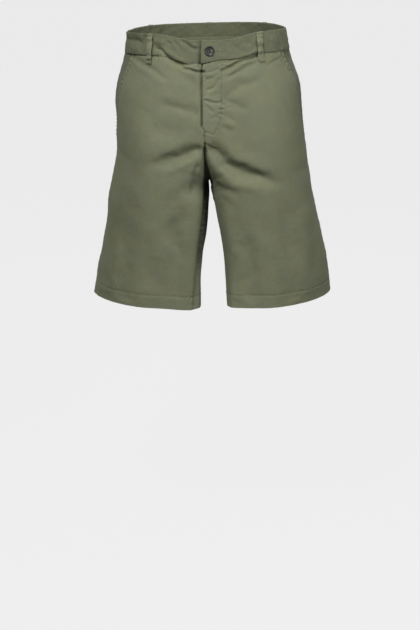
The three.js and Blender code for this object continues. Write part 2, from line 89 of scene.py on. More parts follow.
# Between the legs the back panels' colour is darkened as a painted shadow: how much, and where it fades.
LEG_GAP_SHADE = 2.1
LEG_GAP_SHADE_LOW, LEG_GAP_SHADE_HIGH, LEG_GAP_SHADE_ACROSS = (-430, -385), (-272, -250), (18, 40)
INNER_HEM_DROP = 5.0
ROWS_ABOVE, ROWS_BELOW = 11, 9
CROTCH_V = ROWS_ABOVE / (ROWS_ABOVE + ROWS_BELOW)
WAIST_GAP_V = 0.0006
# How far a panel's top edge runs up behind the waistband, from how far below the edge, and how far
# inside it the panels and the pocket facings lie there.
TUCK_UP, TUCK_FROM, TUCK_IN, FACING_TUCK_IN = 12.0, 2.2, 0.3, 2.0
# The left front stays below the waistband's lapped ends, and the right front lies further inside.
LEFT_TUCK_ACROSS, RIGHT_TUCK_ACROSS, RIGHT_TUCK_IN = (27.5, 31), (-72, -58, -30, -18), 1.0
RIGHT, LEFT = -1, 1
SIDE_WORDS = {RIGHT: "right", LEFT: "left"}

LEVEL_COLUMNS = "z right left rightY leftY front back frontCrest backCrest square".split()
LEVEL_ROWS = [
    (19, 150, 144, 2, 2, 112, 116, 20, 24, 2.0),
    (-34, 158, 155, 4, 4, 117, 124, 30, 42, 2.0),
    (-78, 172, 172, 8, 8, 122, 132, 46, 62, 2.05),
    (-146, 174, 180, 12, 12, 126, 138, 70, 80, 2.05),
    (-214, 176, 191, 18, 18, 123, 133, 86, 88, 2.0),
    (-284, 191, 203, 24, 24, 115, 124, 94, 96, 1.95),
    (-355, 200, 220, 30, 34, 106, 112, 99, 100, 1.85),
    (-427, 216, 237, 36, 44, 98, 102, 102, 104, 1.75),
    (-491, 228, 246, 36, 54, 94, 96, 104, 106, 1.62),
]
INSEAM_COLUMNS = "z x y swell front back".split()
INSEAM_ROWS = {
    RIGHT: [
        (-262, 2.8, 12, 0, 4.4, 2.4),
        (-269, -3.4, -22, 6.9, 4.5, 2.4),
        (-278, -8.4, -54, 13.2, 4.6, 2.4),
        (-300, -11.2, -67, 15.2, 5.2, 2.4),
        (-355, -17, -75, 16.2, 5.6, 2.5),
        (-427, -25, -80, 12.2, 4.4, 2.6),
        (-491, -30, -86, 16.5, 2.8, 2.8),
    ],
    LEFT: [
        (-262, 3.2, 12, 0, 5.6, 2.4),
        (-269, 5.2, 0, 0, 5.0, 2.4),
        (-278, 7.6, -14, 0.3, 4.4, 2.4),
        (-300, 13.5, -30, 1, 3.4, 2.4),
        (-355, 24, -50, 1.5, 3.0, 2.5),
        (-427, 36, -68, 4, 2.8, 2.6),
        (-491, 43, -86, 7, 2.5, 2.7),
    ],
}

# How far each front lies away from the seam at the bottom of the dark fold between the legs.
SLOT_COLUMNS = "z right left".split()
SLOT_ROWS = [
    (-180, 0, 0), (-200, 0.4, 2.4), (-222, 1.2, 5.0), (-240, 5.0, 4.4), (-262, 8.4, 3.8), (-280, 0, 0),
]
SLOT_TURN, SLOT_REACH = 0.22, 0.5
QUARTER_STEPS = 90

# ------------------------------------------------------------------ small helpers


def mix(a, b, share):
    return a + (b - a) * share


def smooth(value, low, high):
    share = np.clip((np.asarray(value, float) - low) / (high - low), 0, 1)
    return share * share * (3 - 2 * share)


def bell(away, wide):
    """1 where away is 0, fading on both sides over wide."""
    return np.exp(-((away / wide) ** 2))


class Table:
    """A table with named columns, read smoothly between its rows; z runs downwards."""

    def __init__(self, columns, rows):
        table = np.array(rows, float)[::-1]
        self.z = table[:, 0]
        self.columns = {name: table[:, i] for i, name in enumerate(columns)}

    def __call__(self, name, z):
        values = self.columns[name]
        z = np.clip(np.asarray(z, float), self.z[0], self.z[-1])
        ends = np.arange(len(values))
        low, high = np.maximum(ends - 1, 0), np.minimum(ends + 1, len(values) - 1)
        slopes = (values[high] - values[low]) / (self.z[high] - self.z[low])
        i = np.clip(np.searchsorted(self.z, z, side="right") - 1, 0, len(values) - 2)
        span = self.z[i + 1] - self.z[i]
        s = (z - self.z[i]) / span
        start = values[i] * (1 + 2 * s) * (1 - s) ** 2 + slopes[i] * span * s * (1 - s) ** 2
        end = values[i + 1] * s * s * (3 - 2 * s) - slopes[i + 1] * span * s * s * (1 - s)
        return start + end


LEVELS = Table(LEVEL_COLUMNS, LEVEL_ROWS)
INSEAMS = {side: Table(INSEAM_COLUMNS, rows) for side, rows in INSEAM_ROWS.items()}
SLOTS = Table(SLOT_COLUMNS, SLOT_ROWS)


def depth_sign(face):
    return -1 if face == "front" else 1


def quarter(start, end, square):
    """A quarter of a superellipse that leaves start along Y and reaches end along X."""
    angle = np.linspace(0, math.pi / 2, QUARTER_STEPS + 1)
    power = 2 / square
    across = 1 - np.clip(np.cos(angle), 0, 1) ** power
    along = np.sin(angle) ** power
    return np.stack([mix(start[0], end[0], across), mix(start[1], end[1], along)], -1)


def shares_along(points):
    steps = np.linalg.norm(np.diff(points, axis=0), axis=1)
    lengths = np.concatenate([[0], np.cumsum(steps)])
    return lengths, lengths / lengths[-1]


# ------------------------------------------------------------------ the form, as in the part's source


def make_rise(face):
    turn, sign = RISE_TURN[face], depth_sign(face)
    z = np.linspace(BAND_BOTTOM, turn, 60, endpoint=False)
    down = np.stack([sign * LEVELS(face, z), z], -1)
    under = quarter((sign * float(LEVELS(face, turn)), turn), (CROTCH_Y, CROTCH_Z), RISE_SQUARE[face])
    return np.concatenate([down, under])


RISES = {face: make_rise(face) for face in ("front", "back")}


def front_seam_x(z):
    """Below the fly the centre seam lies to the wearer's right, and it comes back where the legs part."""
    return mix(LOWER_SEAM_X, CENTRE_X, smooth(-z, -SEAM_TURN_Z, -CROTCH_Z))


def front_edge_x(side, z):
    """Where each front ends: the left one as the flap, and the right one under it."""
    end = CENTRE_X - FLY_LAP if side == LEFT else CENTRE_X
    return mix(front_seam_x(z), end, smooth(z, FLY_FOOT_Z, FLY_FOOT_TOP)) + SEAM_HALF_GAP * side


def inner_edge(side, face, v):
    """The panel's inner edge (x, y, z) at v, from 0 at the waist seam, past the crotch, to 1 at the hem."""
    if v > CROTCH_V:
        z = mix(CROTCH_Z, HEM_Z, (v - CROTCH_V) / (1 - CROTCH_V))
        return float(INSEAMS[side]("x", z)), float(INSEAMS[side]("y", z)), z
    rise = RISES[face]
    _, shares = shares_along(rise)
    y = float(np.interp(v / CROTCH_V, shares, rise[:, 0]))
    z = float(np.interp(v / CROTCH_V, shares, rise[:, 1]))
    x = float(front_edge_x(side, z)) if face == "front" else CENTRE_X + SEAM_HALF_GAP * side
    return x, y, z


def side_level(v):
    if v > CROTCH_V:
        share = (v - CROTCH_V) / (1 - CROTCH_V)
        return mix(CROTCH_Z, HEM_Z, share) + SIDE_LIFT_AT_CROTCH * (1 - share) ** 2
    return mix(BAND_BOTTOM, CROTCH_Z + SIDE_LIFT_AT_CROTCH, v / CROTCH_V)


def plan_line(side, face, inner, crest_z, seam_z):
    turned = float(smooth(-inner[2], -RISE_TURN[face], -RISE_TURN[face] + 60))
    depth = float(LEVELS(face, mix(inner[2], crest_z, turned)))
    crest = (CENTRE_X + side * float(LEVELS(face + "Crest", crest_z)), depth_sign(face) * depth)
    word = SIDE_WORDS[side]
    seam = (side * float(LEVELS(word, seam_z)), float(LEVELS(word + "Y", seam_z)))
    inside = quarter(inner, crest, float(INSEAMS[side](face, inner[2])))
    deep = np.clip((inside[:, 1] - inner[1]) / ((crest[1] - inner[1]) or 1), 0, 1)
    if face == "back":
        swell = float(INSEAMS[side]("swell", inner[2]))
        above = float(smooth(inner[2], *SWELL_CHANGE))
        reach, sharp = (mix(low, high, above) for low, high in zip(SWELL_AT_HEM, SWELL_ABOVE))
        inside[:, 0] -= side * swell * np.sin(math.pi * deep**reach) ** sharp
    else:
        slot = float(SLOTS(word, inner[2]))
        out = (inside[:, 0] - inner[0]) / (crest[0] - inner[0])
        inside[:, 0] += side * slot * smooth(deep, 0, SLOT_TURN) * (1 - smooth(out, 0, SLOT_REACH))
    square = float(LEVELS("square", crest_z)) if face == "front" else 2.0
    outer = quarter(seam, crest, square)[::-1]
    return np.concatenate([inside, outer[1:]])


def on_waist_line(points):
    """Lifts the points at the waist to its dipping line."""
    x, y, z = points[..., 0], points[..., 1], points[..., 2]
    share = smooth(z, *WAIST_FADE)
    beside = smooth(abs(x - CENTRE_X), WAIST_LINE["dip_from"], WAIST_LINE["dip_to"])
    dip = WAIST_LINE["front_dip"] * (1 - beside)
    level = WAIST_LINE["sides"] + np.where(y < 0, -dip, WAIST_LINE["back_rise"] * smooth(y, 0, 110))
    lifted = points.copy()
    lifted[..., 2] = z + share * (WAIST_LINE["tilt"] * x + level)
    near_seam = bell(z - BAND_BOTTOM, SEAM_SAG_REACH) * (y < 0)
    for at, wide, up in SEAM_SAGS:
        lifted[..., 2] += near_seam * up * bell(x - at, wide)
    return lifted


def form_grid(side, face, us, vs):
    """The bare form at each row's us (a row for each v); also each row's width."""
    rows, widths = [], []
    for u, v in zip(us, vs):
        inner, seam_z = inner_edge(side, face, v), side_level(v)
        crest_z = mix(inner[2], seam_z, float(smooth(0.4, 0, 0.75)))
        line = plan_line(side, face, inner, crest_z, seam_z)
        lengths, shares = shares_along(line)
        x, y = np.interp(u, shares, line[:, 0]), np.interp(u, shares, line[:, 1])
        z = mix(inner[2], seam_z, smooth(u, 0, 0.75))
        if side == RIGHT:
            z = z - INNER_HEM_DROP * smooth(v, 0.8, 1) * (1 - smooth(u, 0, 0.3))
        rows.append(np.stack([x, y, z], -1))
        widths.append(lengths[-1])
    return on_waist_line(np.array(rows)), np.array(widths)


def level_line(side, face, z):
    inner = (CENTRE_X, depth_sign(face) * float(LEVELS(face, z)), z)
    return plan_line(side, face, inner, z, z)


BAND_SIDES = [(RIGHT, "front"), (RIGHT, "back"), (LEFT, "back"), (LEFT, "front")]


def band_ring(z):
    """The whole ring at one level from the centre front by the right side, and each point's turn."""
    points, turns = [], []
    for i, (side, face) in enumerate(BAND_SIDES):
        line = level_line(side, face, z)
        _, shares = shares_along(line)
        if i % 2:
            line, shares = line[::-1], 1 - shares[::-1]
        points.append(line[:-1])
        turns.append(i + shares[:-1])
    return np.concatenate(points), np.concatenate(turns)


def band_form(turns, heights):
    rows = []
    for z in heights:
        ring, at = band_ring(z)
        at = np.concatenate([at - 4, at, at + 4])
        x = np.interp(turns, at, np.tile(ring[:, 0], 3))
        y = np.interp(turns, at, np.tile(ring[:, 1], 3))
        rows.append(np.stack([x, y, np.full_like(x, z)], -1))
    return on_waist_line(np.array(rows))


def grid_normals(grid, facing=1.0):
    along_u = np.gradient(grid, axis=1)
    along_v = np.gradient(grid, axis=0)
    normal = np.cross(along_u, along_v) * facing
    return normal / np.maximum(np.linalg.norm(normal, axis=-1, keepdims=True), 1e-9)


# ------------------------------------------------------------------ creases and puckers


def wobble(x, y, scale, seed, terms=6):
    """Smooth seeded noise between about -1 and 1 whose bumps are about scale wide."""
    random = np.random.default_rng(seed)
    angles = random.uniform(0, 2 * math.pi, terms)
    pitches = scale * random.uniform(0.7, 1.6, terms) * 2
    phases = random.uniform(0, 2 * math.pi, terms)
    total = 0
    for angle, pitch, phase in zip(angles, pitches, phases):
        total = total + np.sin(2 * math.pi * (x * math.cos(angle) + y * math.sin(angle)) / pitch + phase)
    return total / (terms * 0.55)


def distance_to_line(x, z, points):
    """The signed distance to a line of points, and how far along it the nearest place is, 0 to 1."""
    points = np.array(points, float)
    lengths, _ = shares_along(points)
    nearest = np.full(np.shape(x), 1e9)
    signed, along = np.zeros(np.shape(x)), np.zeros(np.shape(x))
    for (ax, az), (bx, bz), start in zip(points[:-1], points[1:], lengths[:-1]):
        dx, dz = bx - ax, bz - az
        length = math.hypot(dx, dz)
        share = np.clip(((x - ax) * dx + (z - az) * dz) / length**2, 0, 1)
        away = np.hypot(x - ax - share * dx, z - az - share * dz)
        side = np.sign(dx * (z - az) - dz * (x - ax))
        closer = away < nearest
        nearest = np.where(closer, away, nearest)
        signed = np.where(closer, away * side, signed)
        along = np.where(closer, (start + share * length) / lengths[-1], along)
    return signed, along


def crease(x, z, points, width, depth, lip=0.0, start=0.15, end=0.3):
    """A trough of some depth along a line, with a lip beside it where the cloth bulges over.

    The lip is on the line's left, or on its right if it is negative; start and end fade the line out.
    """
    away, along = distance_to_line(x, z, points)
    fade = smooth(along, -1e-3, start) * (1 - smooth(along, 1 - end, 1 + 1e-3))
    ends = bell(np.maximum(abs(away) - 3 * width, 0), width)
    side = math.copysign(1, lip)
    trough = -depth * bell(away, width)
    bulge = abs(lip) * bell(away - side * 1.7 * width, 1.35 * width)
    return (trough + bulge * smooth(along, 0, max(start, 0.3))) * fade * ends


# Each crease: its points across and up, width, depth, lip, and how much of each end fades out.
FRONT_CREASES = [
    # under the waistband, on the wearer's right
    ([(-99, 7), (-92, -2), (-84, -14), (-72, -24), (-58, -31), (-42, -35), (-24, -37)],
     3.8, 5.0, 2.0, 0.15, 0.3),
    ([(-52, -36), (-41, -41), (-29, -43), (-17, -43), (-5, -42)], 2.8, 4.6, 1.6, 0.25, 0.02),
    ([(-148, -15), (-122, -28), (-103, -42), (-84, -55), (-60, -64)], 4.5, 2.2, -0.9, 0.1, 0.5),
    ([(-112, 12), (-100, 6), (-88, 2), (-76, 2)], 3.5, 1.3, 0.6, 0.3, 0.4),
    # the buckled top of the waistband at the wearer's right side
    ([(-152, 3), (-140, 4), (-126, 4), (-112, 2)], 4.4, 2.4, 0.0, 0.05, 0.2),
    ([(-152, 19), (-140, 20), (-126, 20), (-112, 18)], 8.0, -3.4, 0.0, 0.05, 0.3),
    ([(-150, -7), (-134, -9), (-118, -7)], 4.0, -0.9, 0.0, 0.2, 0.2),
    # dimples in the waistband beside the tab
    ([(-14.6, 12), (-14.4, -10), (-14.4, -36)], 2.6, 3.2, 0.0, 0.02, 0.02),
    ([(-48, 9), (-38, 2), (-28, -3), (-16, -6)], 3.4, 3.2, 1.2, 0.3, 0.1),
    ([(-30, 10), (-16, 7)], 4.2, 1.7, 0.0, 0.4, 0.1),
    ([(-66, 8), (-56, 2), (-50, -7), (-52, -16)], 3.4, 1.6, -0.8, 0.3, 0.4),
    ([(-80, 9), (-72, 5), (-64, -4)], 3.0, 1.4, 0.7, 0.3, 0.4),
    ([(24, -2), (28, -10), (26, -20)], 3.6, 1.2, 0.7, 0.3, 0.3),
    ([(44, 6), (54, -2), (60, -12)], 5.0, 1.4, 0.7, 0.3, 0.4),
    ([(70, 12), (78, 2), (84, -8)], 4.5, 1.2, -0.6, 0.3, 0.3),
    ([(106, 10), (116, 2), (130, -4)], 4.5, 1.1, 0.6, 0.3, 0.4),
    # under the waistband, on the wearer's left
    ([(20, -45), (44, -35), (64, -26), (86, -18), (100, -12)], 3.2, 4.9, 2.0, 0.1, 0.2),
    ([(12, -29), (34, -28), (56, -22), (74, -16), (92, -12)], 2.0, 1.6, 0.8, 0.15, 0.2),
    ([(20, -33), (36, -36), (50, -31)], 2.0, 1.3, -0.7, 0.2, 0.3),
    ([(34, -62), (52, -49), (66, -39), (82, -29), (98, -22)], 4.4, 3.0, 1.3, 0.15, 0.4),
    ([(104, -36), (122, -28), (142, -23)], 4.0, 1.3, 0.6, 0.3, 0.4),
    ([(-60, -40), (-40, -56), (-22, -72), (-15, -92), (-14, -112)], 7.0, 1.6, 0.8, 0.2, 0.4),
    # across the fly and beside it
    ([(26, -55), (19, -63), (10, -74), (-6, -81)], 3.4, 2.3, 1.1, 0.1, 0.15),
    ([(26, -93), (19, -97), (8, -99), (-7, -97)], 2.2, 2.3, -0.7, 0.2, 0.05),
    ([(28, -92), (23, -98), (26, -104)], 1.9, 1.8, 0.8, 0.15, 0.2),
    ([(17, -112), (22, -110), (28, -113)], 1.8, 1.7, 0.8, 0.15, 0.2),
    ([(16, -121), (23, -119), (29, -123)], 1.8, 1.6, -0.7, 0.15, 0.2),
    ([(30, -112), (36, -108), (45, -106)], 2.4, 1.1, 0.6, 0.15, 0.4),
    ([(-6, -104), (4, -109), (12, -118)], 2.4, 1.1, 0.5, 0.2, 0.3),
    ([(27, -98), (40, -84), (60, -70), (92, -58), (112, -52)], 9.0, 2.6, 1.2, 0.08, 0.5),
    ([(27, -101), (42, -102), (60, -105), (82, -112)], 6.5, 2.0, 0.9, 0.08, 0.5),
    ([(22, -38), (12, -42), (-6, -44)], 2.2, 1.5, 0.9, 0.2, 0.1),
    ([(-6, -58), (4, -54), (16, -52)], 2.6, 1.3, 0.7, 0.1, 0.4),
    ([(26, -120), (38, -124), (56, -130)], 5.0, 1.6, -0.8, 0.08, 0.5),
    ([(20, -128), (12, -126), (2, -130)], 3.0, 0.9, 0.5, 0.2, 0.3),
    ([(22, -142), (40, -150), (56, -148)], 6.0, 1.4, 0.7, 0.1, 0.5),
    # soft drags over the right thigh
    ([(-98, -100), (-74, -104), (-50, -109), (-16, -119)], 8.5, 2.4, 1.1, 0.3, 0.05),
    ([(-110, -146), (-90, -150), (-64, -152), (-40, -146)], 12.0, 1.3, 0.6, 0.3, 0.4),
    # the groove of the centre seam, and the valley between the legs
    ([(-5.5, -152), (-5.5, -180), (-5, -215)], 1.8, 1.3, 0.0, 0.1, 0.3),
    # the drags that fan out from the crotch
    ([(0, -180), (-28, -188), (-50, -195), (-72, -202), (-96, -212), (-118, -223)],
     12.0, 8.8, -2.6, 0.16, 0.5),
    ([(-8, -204), (-40, -208), (-70, -218), (-90, -230)], 8.0, -1.5, 0.0, 0.2, 0.5),
    ([(-10, -214), (-20, -222), (-27, -234), (-30, -252), (-32, -286)], 4.5, 2.4, -1.0, 0.15, 0.5),
    ([(-14, -248), (-40, -262), (-70, -286), (-90, -312)], 12.0, 1.6, -0.8, 0.2, 0.5),
    ([(-5, -170), (6, -181), (16, -192), (30, -206), (50, -219), (73, -229), (112, -239),
      (150, -252)], 11.5, 11.6, 3.0, 0.17, 0.45),
    ([(-5, -170), (1, -175), (8, -182), (15, -188)], 2.0, 1.7, 0.8, 0.1, 0.2),
    ([(-2, -180), (5, -186), (12, -194)], 2.0, 0.9, 0.4, 0.2, 0.3),
    ([(30, -238), (60, -250), (100, -262), (130, -268)], 9.0, -1.6, 0.0, 0.3, 0.5),
    ([(10, -256), (24, -256), (38, -259), (48, -268), (54, -284)], 9.5, 3.4, 1.4, 0.1, 0.6),
    ([(16, -262), (34, -284), (48, -312)], 10.0, 1.5, 0.8, 0.1, 0.5),
    ([(20, -214), (32, -228), (44, -242)], 6.0, -1.6, 0.0, 0.3, 0.4),
    ([(-5, -149), (9, -156)], 1.6, 1.5, -0.8, 0.05, 0.05),
    # long soft folds down the legs
    ([(-24, -276), (-46, -306), (-62, -338), (-56, -380), (-44, -430)], 15.0, 3.0, -1.6, 0.3, 0.4),
    ([(18, -280), (30, -320), (46, -370), (56, -420)], 13.0, -1.8, 0.0, 0.3, 0.4),
    ([(52, -330), (70, -370), (74, -420), (66, -470)], 14.0, 2.6, 1.2, 0.3, 0.3),
    ([(-58, -300), (-62, -360), (-58, -420), (-52, -480)], 16.0, 2.4, 1.2, 0.3, 0.2),
    ([(-146, -250), (-152, -330), (-162, -410), (-166, -486)], 18.0, 3.4, -2.2, 0.3, 0.05),
    ([(-104, -330), (-112, -390), (-106, -460)], 14.0, 2.0, 1.0, 0.3, 0.3),
    ([(-186, -330), (-196, -400), (-202, -470)], 12.0, 1.8, 1.0, 0.3, 0.2),
    ([(64, -300), (76, -360), (82, -430), (84, -486)], 16.0, 2.6, -1.3, 0.3, 0.1),
    ([(138, -280), (150, -350), (160, -420), (166, -486)], 17.0, 3.2, 2.0, 0.3, 0.05),
    ([(196, -320), (206, -390), (208, -450)], 14.0, 2.0, -1.1, 0.3, 0.3),
    # slack near the side seams
    ([(-178, -196), (-150, -208), (-126, -212)], 11.0, 0.9, 0.5, 0.3, 0.5),
    ([(200, -236), (170, -228), (146, -226)], 11.0, 0.9, -0.4, 0.3, 0.5),
    ([(206, -300), (184, -298), (160, -304)], 11.0, 0.8, 0.4, 0.3, 0.5),
]
BACK_CREASES = [
    ([(-100, -20), (-76, -34), (-48, -40), (-20, -36)], 6.0, 1.8, 0.9, 0.2, 0.3),
    ([(24, -34), (54, -42), (88, -34), (110, -22)], 6.0, 1.6, 0.8, 0.2, 0.3),
    ([(-8, -70), (-40, -84), (-80, -88), (-120, -80)], 12.0, 1.4, 0.7, 0.2, 0.5),
    ([(12, -84), (46, -98), (86, -98)], 12.0, 1.3, -0.7, 0.2, 0.5),
    ([(-4, -200), (-22, -212), (-50, -226), (-86, -242), (-122, -254)], 11.0, 4.4, -2.0, 0.05, 0.45),
    ([(10, -196), (30, -210), (60, -222), (100, -232), (136, -240)], 10.0, 4.0, 1.8, 0.05, 0.45),
    ([(-4, -232), (-30, -248), (-66, -262)], 8.0, 2.2, -1.0, 0.1, 0.5),
    ([(12, -236), (40, -254), (70, -264), (100, -266)], 8.0, 2.4, 1.1, 0.1, 0.5),
    ([(-4, -160), (-26, -170), (-56, -176)], 10.0, 1.7, 0.8, 0.1, 0.5),
    ([(10, -150), (40, -158), (70, -156)], 10.0, 1.6, -0.8, 0.1, 0.5),
    ([(-60, -300), (-68, -370), (-62, -450), (-58, -486)], 17.0, 2.2, 1.1, 0.3, 0.1),
    ([(-140, -280), (-152, -350), (-160, -430), (-166, -486)], 17.0, 2.4, -1.4, 0.3, 0.05),
    ([(66, -290), (80, -360), (88, -440), (92, -486)], 17.0, 2.2, -1.1, 0.3, 0.1),
    ([(140, -280), (156, -360), (170, -440), (174, -486)], 17.0, 2.3, 1.4, 0.3, 0.05),
    ([(-176, -230), (-150, -236), (-124, -232)], 9.0, 1.5, 0.7, 0.1, 0.5),
    ([(194, -244), (168, -250), (140, -244)], 9.0, 1.5, -0.7, 0.1, 0.5),
]
CREASES = {"front": FRONT_CREASES, "back": BACK_CREASES}


def relief(face, x, z):
    """The folds that cross every piece on one face of the garment, in millimetres outwards."""
    bent_x = x + 3.0 * wobble(x, z, 34, 11) + 1.2 * wobble(x, z, 13, 12)
    bent_z = z + 3.0 * wobble(x, z, 34, 13) + 1.2 * wobble(x, z, 13, 14)
    total = 0.9 * wobble(x, z, 62, 21 if face == "front" else 22) + 0.28 * wobble(x, z, 24, 23)
    for points, width, depth, lip, start, end in CREASES[face]:
        total = total + crease(bent_x, bent_z, points, width, depth, lip, start, end)
    return total


def pucker(away, along, height, pitch, reach, seed, skew=0.0):
    """Short uneven waves that a row of stitches draws up in the cloth beside it."""
    phase = 2 * math.pi * (along + skew * away) / pitch + 1.9 * wobble(along, away * 0, pitch * 2.3, seed)
    uneven = 0.65 + 0.35 * wobble(along, away * 0, pitch * 4, seed + 1)
    return height * bell(away, reach) * uneven * np.sin(phase)


# ------------------------------------------------------------------ meshes


def linked(name, data):
    made = bpy.data.objects.new(name, data)
    bpy.context.scene.collection.objects.link(made)
    return made


def new_object(name, vertices, faces, uvs=None, wear_and_shade=None):
    mesh = bpy.data.meshes.new(name)
    mesh.from_pydata([tuple(v) for v in np.asarray(vertices) * MM], [], faces)
    if uvs is not None:
        layer = mesh.uv_layers.new(name="cloth")
        loops = np.zeros(len(mesh.loops), np.int32)
        mesh.loops.foreach_get("vertex_index", loops)
        layer.data.foreach_set("uv", (np.asarray(uvs)[loops] * MM).ravel())
    if wear_and_shade is not None:
        # the attribute: above zero paler wear, below zero darker dye and painted shade
        attribute = mesh.attributes.new("wear_and_shade", "FLOAT", "POINT")
        attribute.data.foreach_set("value", np.asarray(wear_and_shade, np.float32))
    mesh.polygons.foreach_set("use_smooth", np.full(len(mesh.polygons), True))
    mesh.update()
    return linked(name, mesh)


def rounded_shell(name, outer, inner, uvs, wear_and_shade):
    """Closes two grids of points into a wall of cloth whose edges are rounded."""
    rows, columns = outer.shape[:2]
    count = rows * columns
    index = np.arange(count).reshape(rows, columns)
    faces = []
    a, b, c, d = index[:-1, :-1], index[1:, :-1], index[1:, 1:], index[:-1, 1:]
    quads = np.stack([a, b, c, d], -1).reshape(-1, 4)
    faces += quads.tolist()
    faces += (quads[:, ::-1] + count).tolist()
    rim = np.concatenate([index[0, :-1], index[:-1, -1], index[-1, :0:-1], index[:0:-1, 0]])
    inwards = np.concatenate([index[1, :-1], index[:-1, -2], index[-2, :0:-1], index[:0:-1, 1]])
    outer_flat, inner_flat = outer.reshape(-1, 3), inner.reshape(-1, 3)
    middle = (outer_flat[rim] + inner_flat[rim]) / 2
    away = outer_flat[rim] - outer_flat[inwards]
    away /= np.maximum(np.linalg.norm(away, axis=1, keepdims=True), 1e-6)
    thick = np.linalg.norm(outer_flat[rim] - inner_flat[rim], axis=1, keepdims=True)
    middle = middle + away * np.minimum(RIM_BULGE * thick, RIM_BULGE_MOST)
    start = 2 * count
    n = len(rim)
    for i in range(n):
        j = (i + 1) % n
        faces.append([int(rim[j]), int(rim[i]), start + i, start + j])
        faces.append([start + j, start + i, int(rim[i]) + count, int(rim[j]) + count])
    vertices = np.concatenate([outer_flat, inner_flat, middle])
    flat_uv = uvs.reshape(-1, 2)
    flat_wear_and_shade = wear_and_shade.ravel()
    all_uvs = np.concatenate([flat_uv, flat_uv, flat_uv[rim]])
    all_wear_and_shade = np.concatenate([flat_wear_and_shade, flat_wear_and_shade * 0, flat_wear_and_shade[rim] + 0.6])
    made = new_object(name, vertices, faces, all_uvs, all_wear_and_shade)
    face_outwards(made)
    return made


def face_outwards(made):
    mesh = made.data
    points = np.zeros(len(mesh.vertices) * 3)
    mesh.vertices.foreach_get("co", points)
    points = points.reshape(-1, 3)
    mesh.calc_loop_triangles()
    triangles = np.zeros(len(mesh.loop_triangles) * 3, np.int32)
    mesh.loop_triangles.foreach_get("vertices", triangles)
    a, b, c = (points[triangles.reshape(-1, 3)[:, k]] for k in range(3))
    volume = float(np.einsum("ij,ij->i", a, np.cross(b, c)).sum())
    if volume < 0:
        mesh.flip_normals()


def blurred(grid, passes):
    for _ in range(passes):
        padded = np.pad(grid, 1, mode="edge")
        grid = (padded[:-2, 1:-1] + padded[2:, 1:-1] + padded[1:-1, :-2] + padded[1:-1, 2:] + 2 * grid) / 6
    return grid


class Surface:
    """A panel's outer grid, which can be asked for points at a share across and a share down."""

    def __init__(self, points, normals, across, down):
        self.points, self.normals, self.across, self.down = points, normals, across, down

    def at(self, across, down):
        row = np.interp(down, self.down, np.arange(len(self.down)))
        r = np.clip(row.astype(int), 0, len(self.down) - 2)
        s = (row - r)[:, None]
        upper, lower = self.in_row(r, across), self.in_row(r + 1, across)
        normal = upper[1] * (1 - s) + lower[1] * s
        return upper[0] * (1 - s) + lower[0] * s, normal / np.linalg.norm(normal, axis=1, keepdims=True)

    def in_row(self, rows, across):
        places = np.arange(self.across.shape[1])
        column = np.array([np.interp(a, self.across[r], places) for r, a in zip(rows, across)])
        c = np.clip(column.astype(int), 0, len(places) - 2)
        t = (column - c)[:, None]
        grids = (self.points, self.normals)
        return tuple(grid[rows, c] * (1 - t) + grid[rows, c + 1] * t for grid in grids)


# ------------------------------------------------------------------ grids of cloth


def crowded(count, *places):
    """Shares from 0 to 1 that lie closer together round each (place, reach, strength)."""
    t = np.linspace(0, 1, 2001)
    weight = np.ones_like(t)
    for place, reach, strength in places:
        weight = weight + strength * bell(t - place, reach)
    total = np.concatenate([[0], np.cumsum((weight[1:] + weight[:-1]) / 2)])
    return np.interp(np.linspace(0, total[-1], count), total, t)


EDGE_STEPS = np.array([0.0, 0.2, 0.55])
QUALITY = 1.0
PANEL_COLUMNS, PANEL_ROWS = int(140 * QUALITY), int(262 * QUALITY)
BAND_COLUMNS, BAND_ROWS = int(620 * QUALITY), int(28 * QUALITY)


def with_edges(shares, length):
    """Adds the edges' own steps, in millimetres, to shares of a line of some length."""
    step = EDGE_STEPS / length
    return np.concatenate([step, mix(2 * step[-1], 1 - 2 * step[-1], shares), (1 - step)[::-1]])


def edge_roll(distance, thick):
    """How far the outer face falls towards the middle of the cloth beside its edge."""
    radius = thick / 2
    near = np.clip(1 - distance / radius, 0, 1)
    return -radius * (1 - np.sqrt(1 - near**2))


def lengths_down(grid):
    steps = np.linalg.norm(np.diff(grid, axis=0), axis=-1)
    return np.concatenate([np.zeros((1, grid.shape[1])), np.cumsum(steps, axis=0)])


def lengths_across(grid):
    return lengths_down(grid.transpose(1, 0, 2)).T


def mouth_share(v, width):
    """How far the pocket mouth stands forward of the side seam, as a share of the panel's width."""
    below = (BAND_BOTTOM - side_level(v)) / POCKET_LENGTH
    return POCKET_AT_WAIST * max(1 - below * below, 0) / width


def panel_width(side, face, v):
    inner, seam_z = inner_edge(side, face, v), side_level(v)
    lengths, _ = shares_along(plan_line(side, face, inner, mix(inner[2], seam_z, 0.5), seam_z))
    return lengths[-1]


def recess(side, face, x, z):
    """How far the right front lies back behind the fly flap, falling away beside the flap's edge."""
    if side == LEFT or face == "back":
        return 0.0
    near_centre = smooth(x, CENTRE_X - FLY_RECESS_WIDTH, CENTRE_X - FLY_LAP)
    lie_back = FLY_RECESS * near_centre * smooth(z, FLY_FOOT_Z - 30, FLY_FOOT_Z - 4)
    edge = front_edge_x(LEFT, z)
    along = smooth(z, -154, -138) * (1 - 0.4 * smooth(z, -40, -24))
    wide = 4.5 + 2.0 * smooth(z, -110, -80) * (1 - smooth(z, -44, -30))
    fall = FLY_FALL * smooth(x, edge - wide - 1.5, edge - 0.5) * along
    swell = 1.3 * bell(x - edge + wide + 6, 6.0) * along
    return lie_back + fall - swell


J_STITCH = [(25, -34), (24, -59), (24, -94), (23.5, -122), (19, -142), (10, -155)]
DARTS = {RIGHT: [(-74, -6), (-72, -60), (-68, -92)], LEFT: [(80, -4), (78, -60), (74, -92)]}


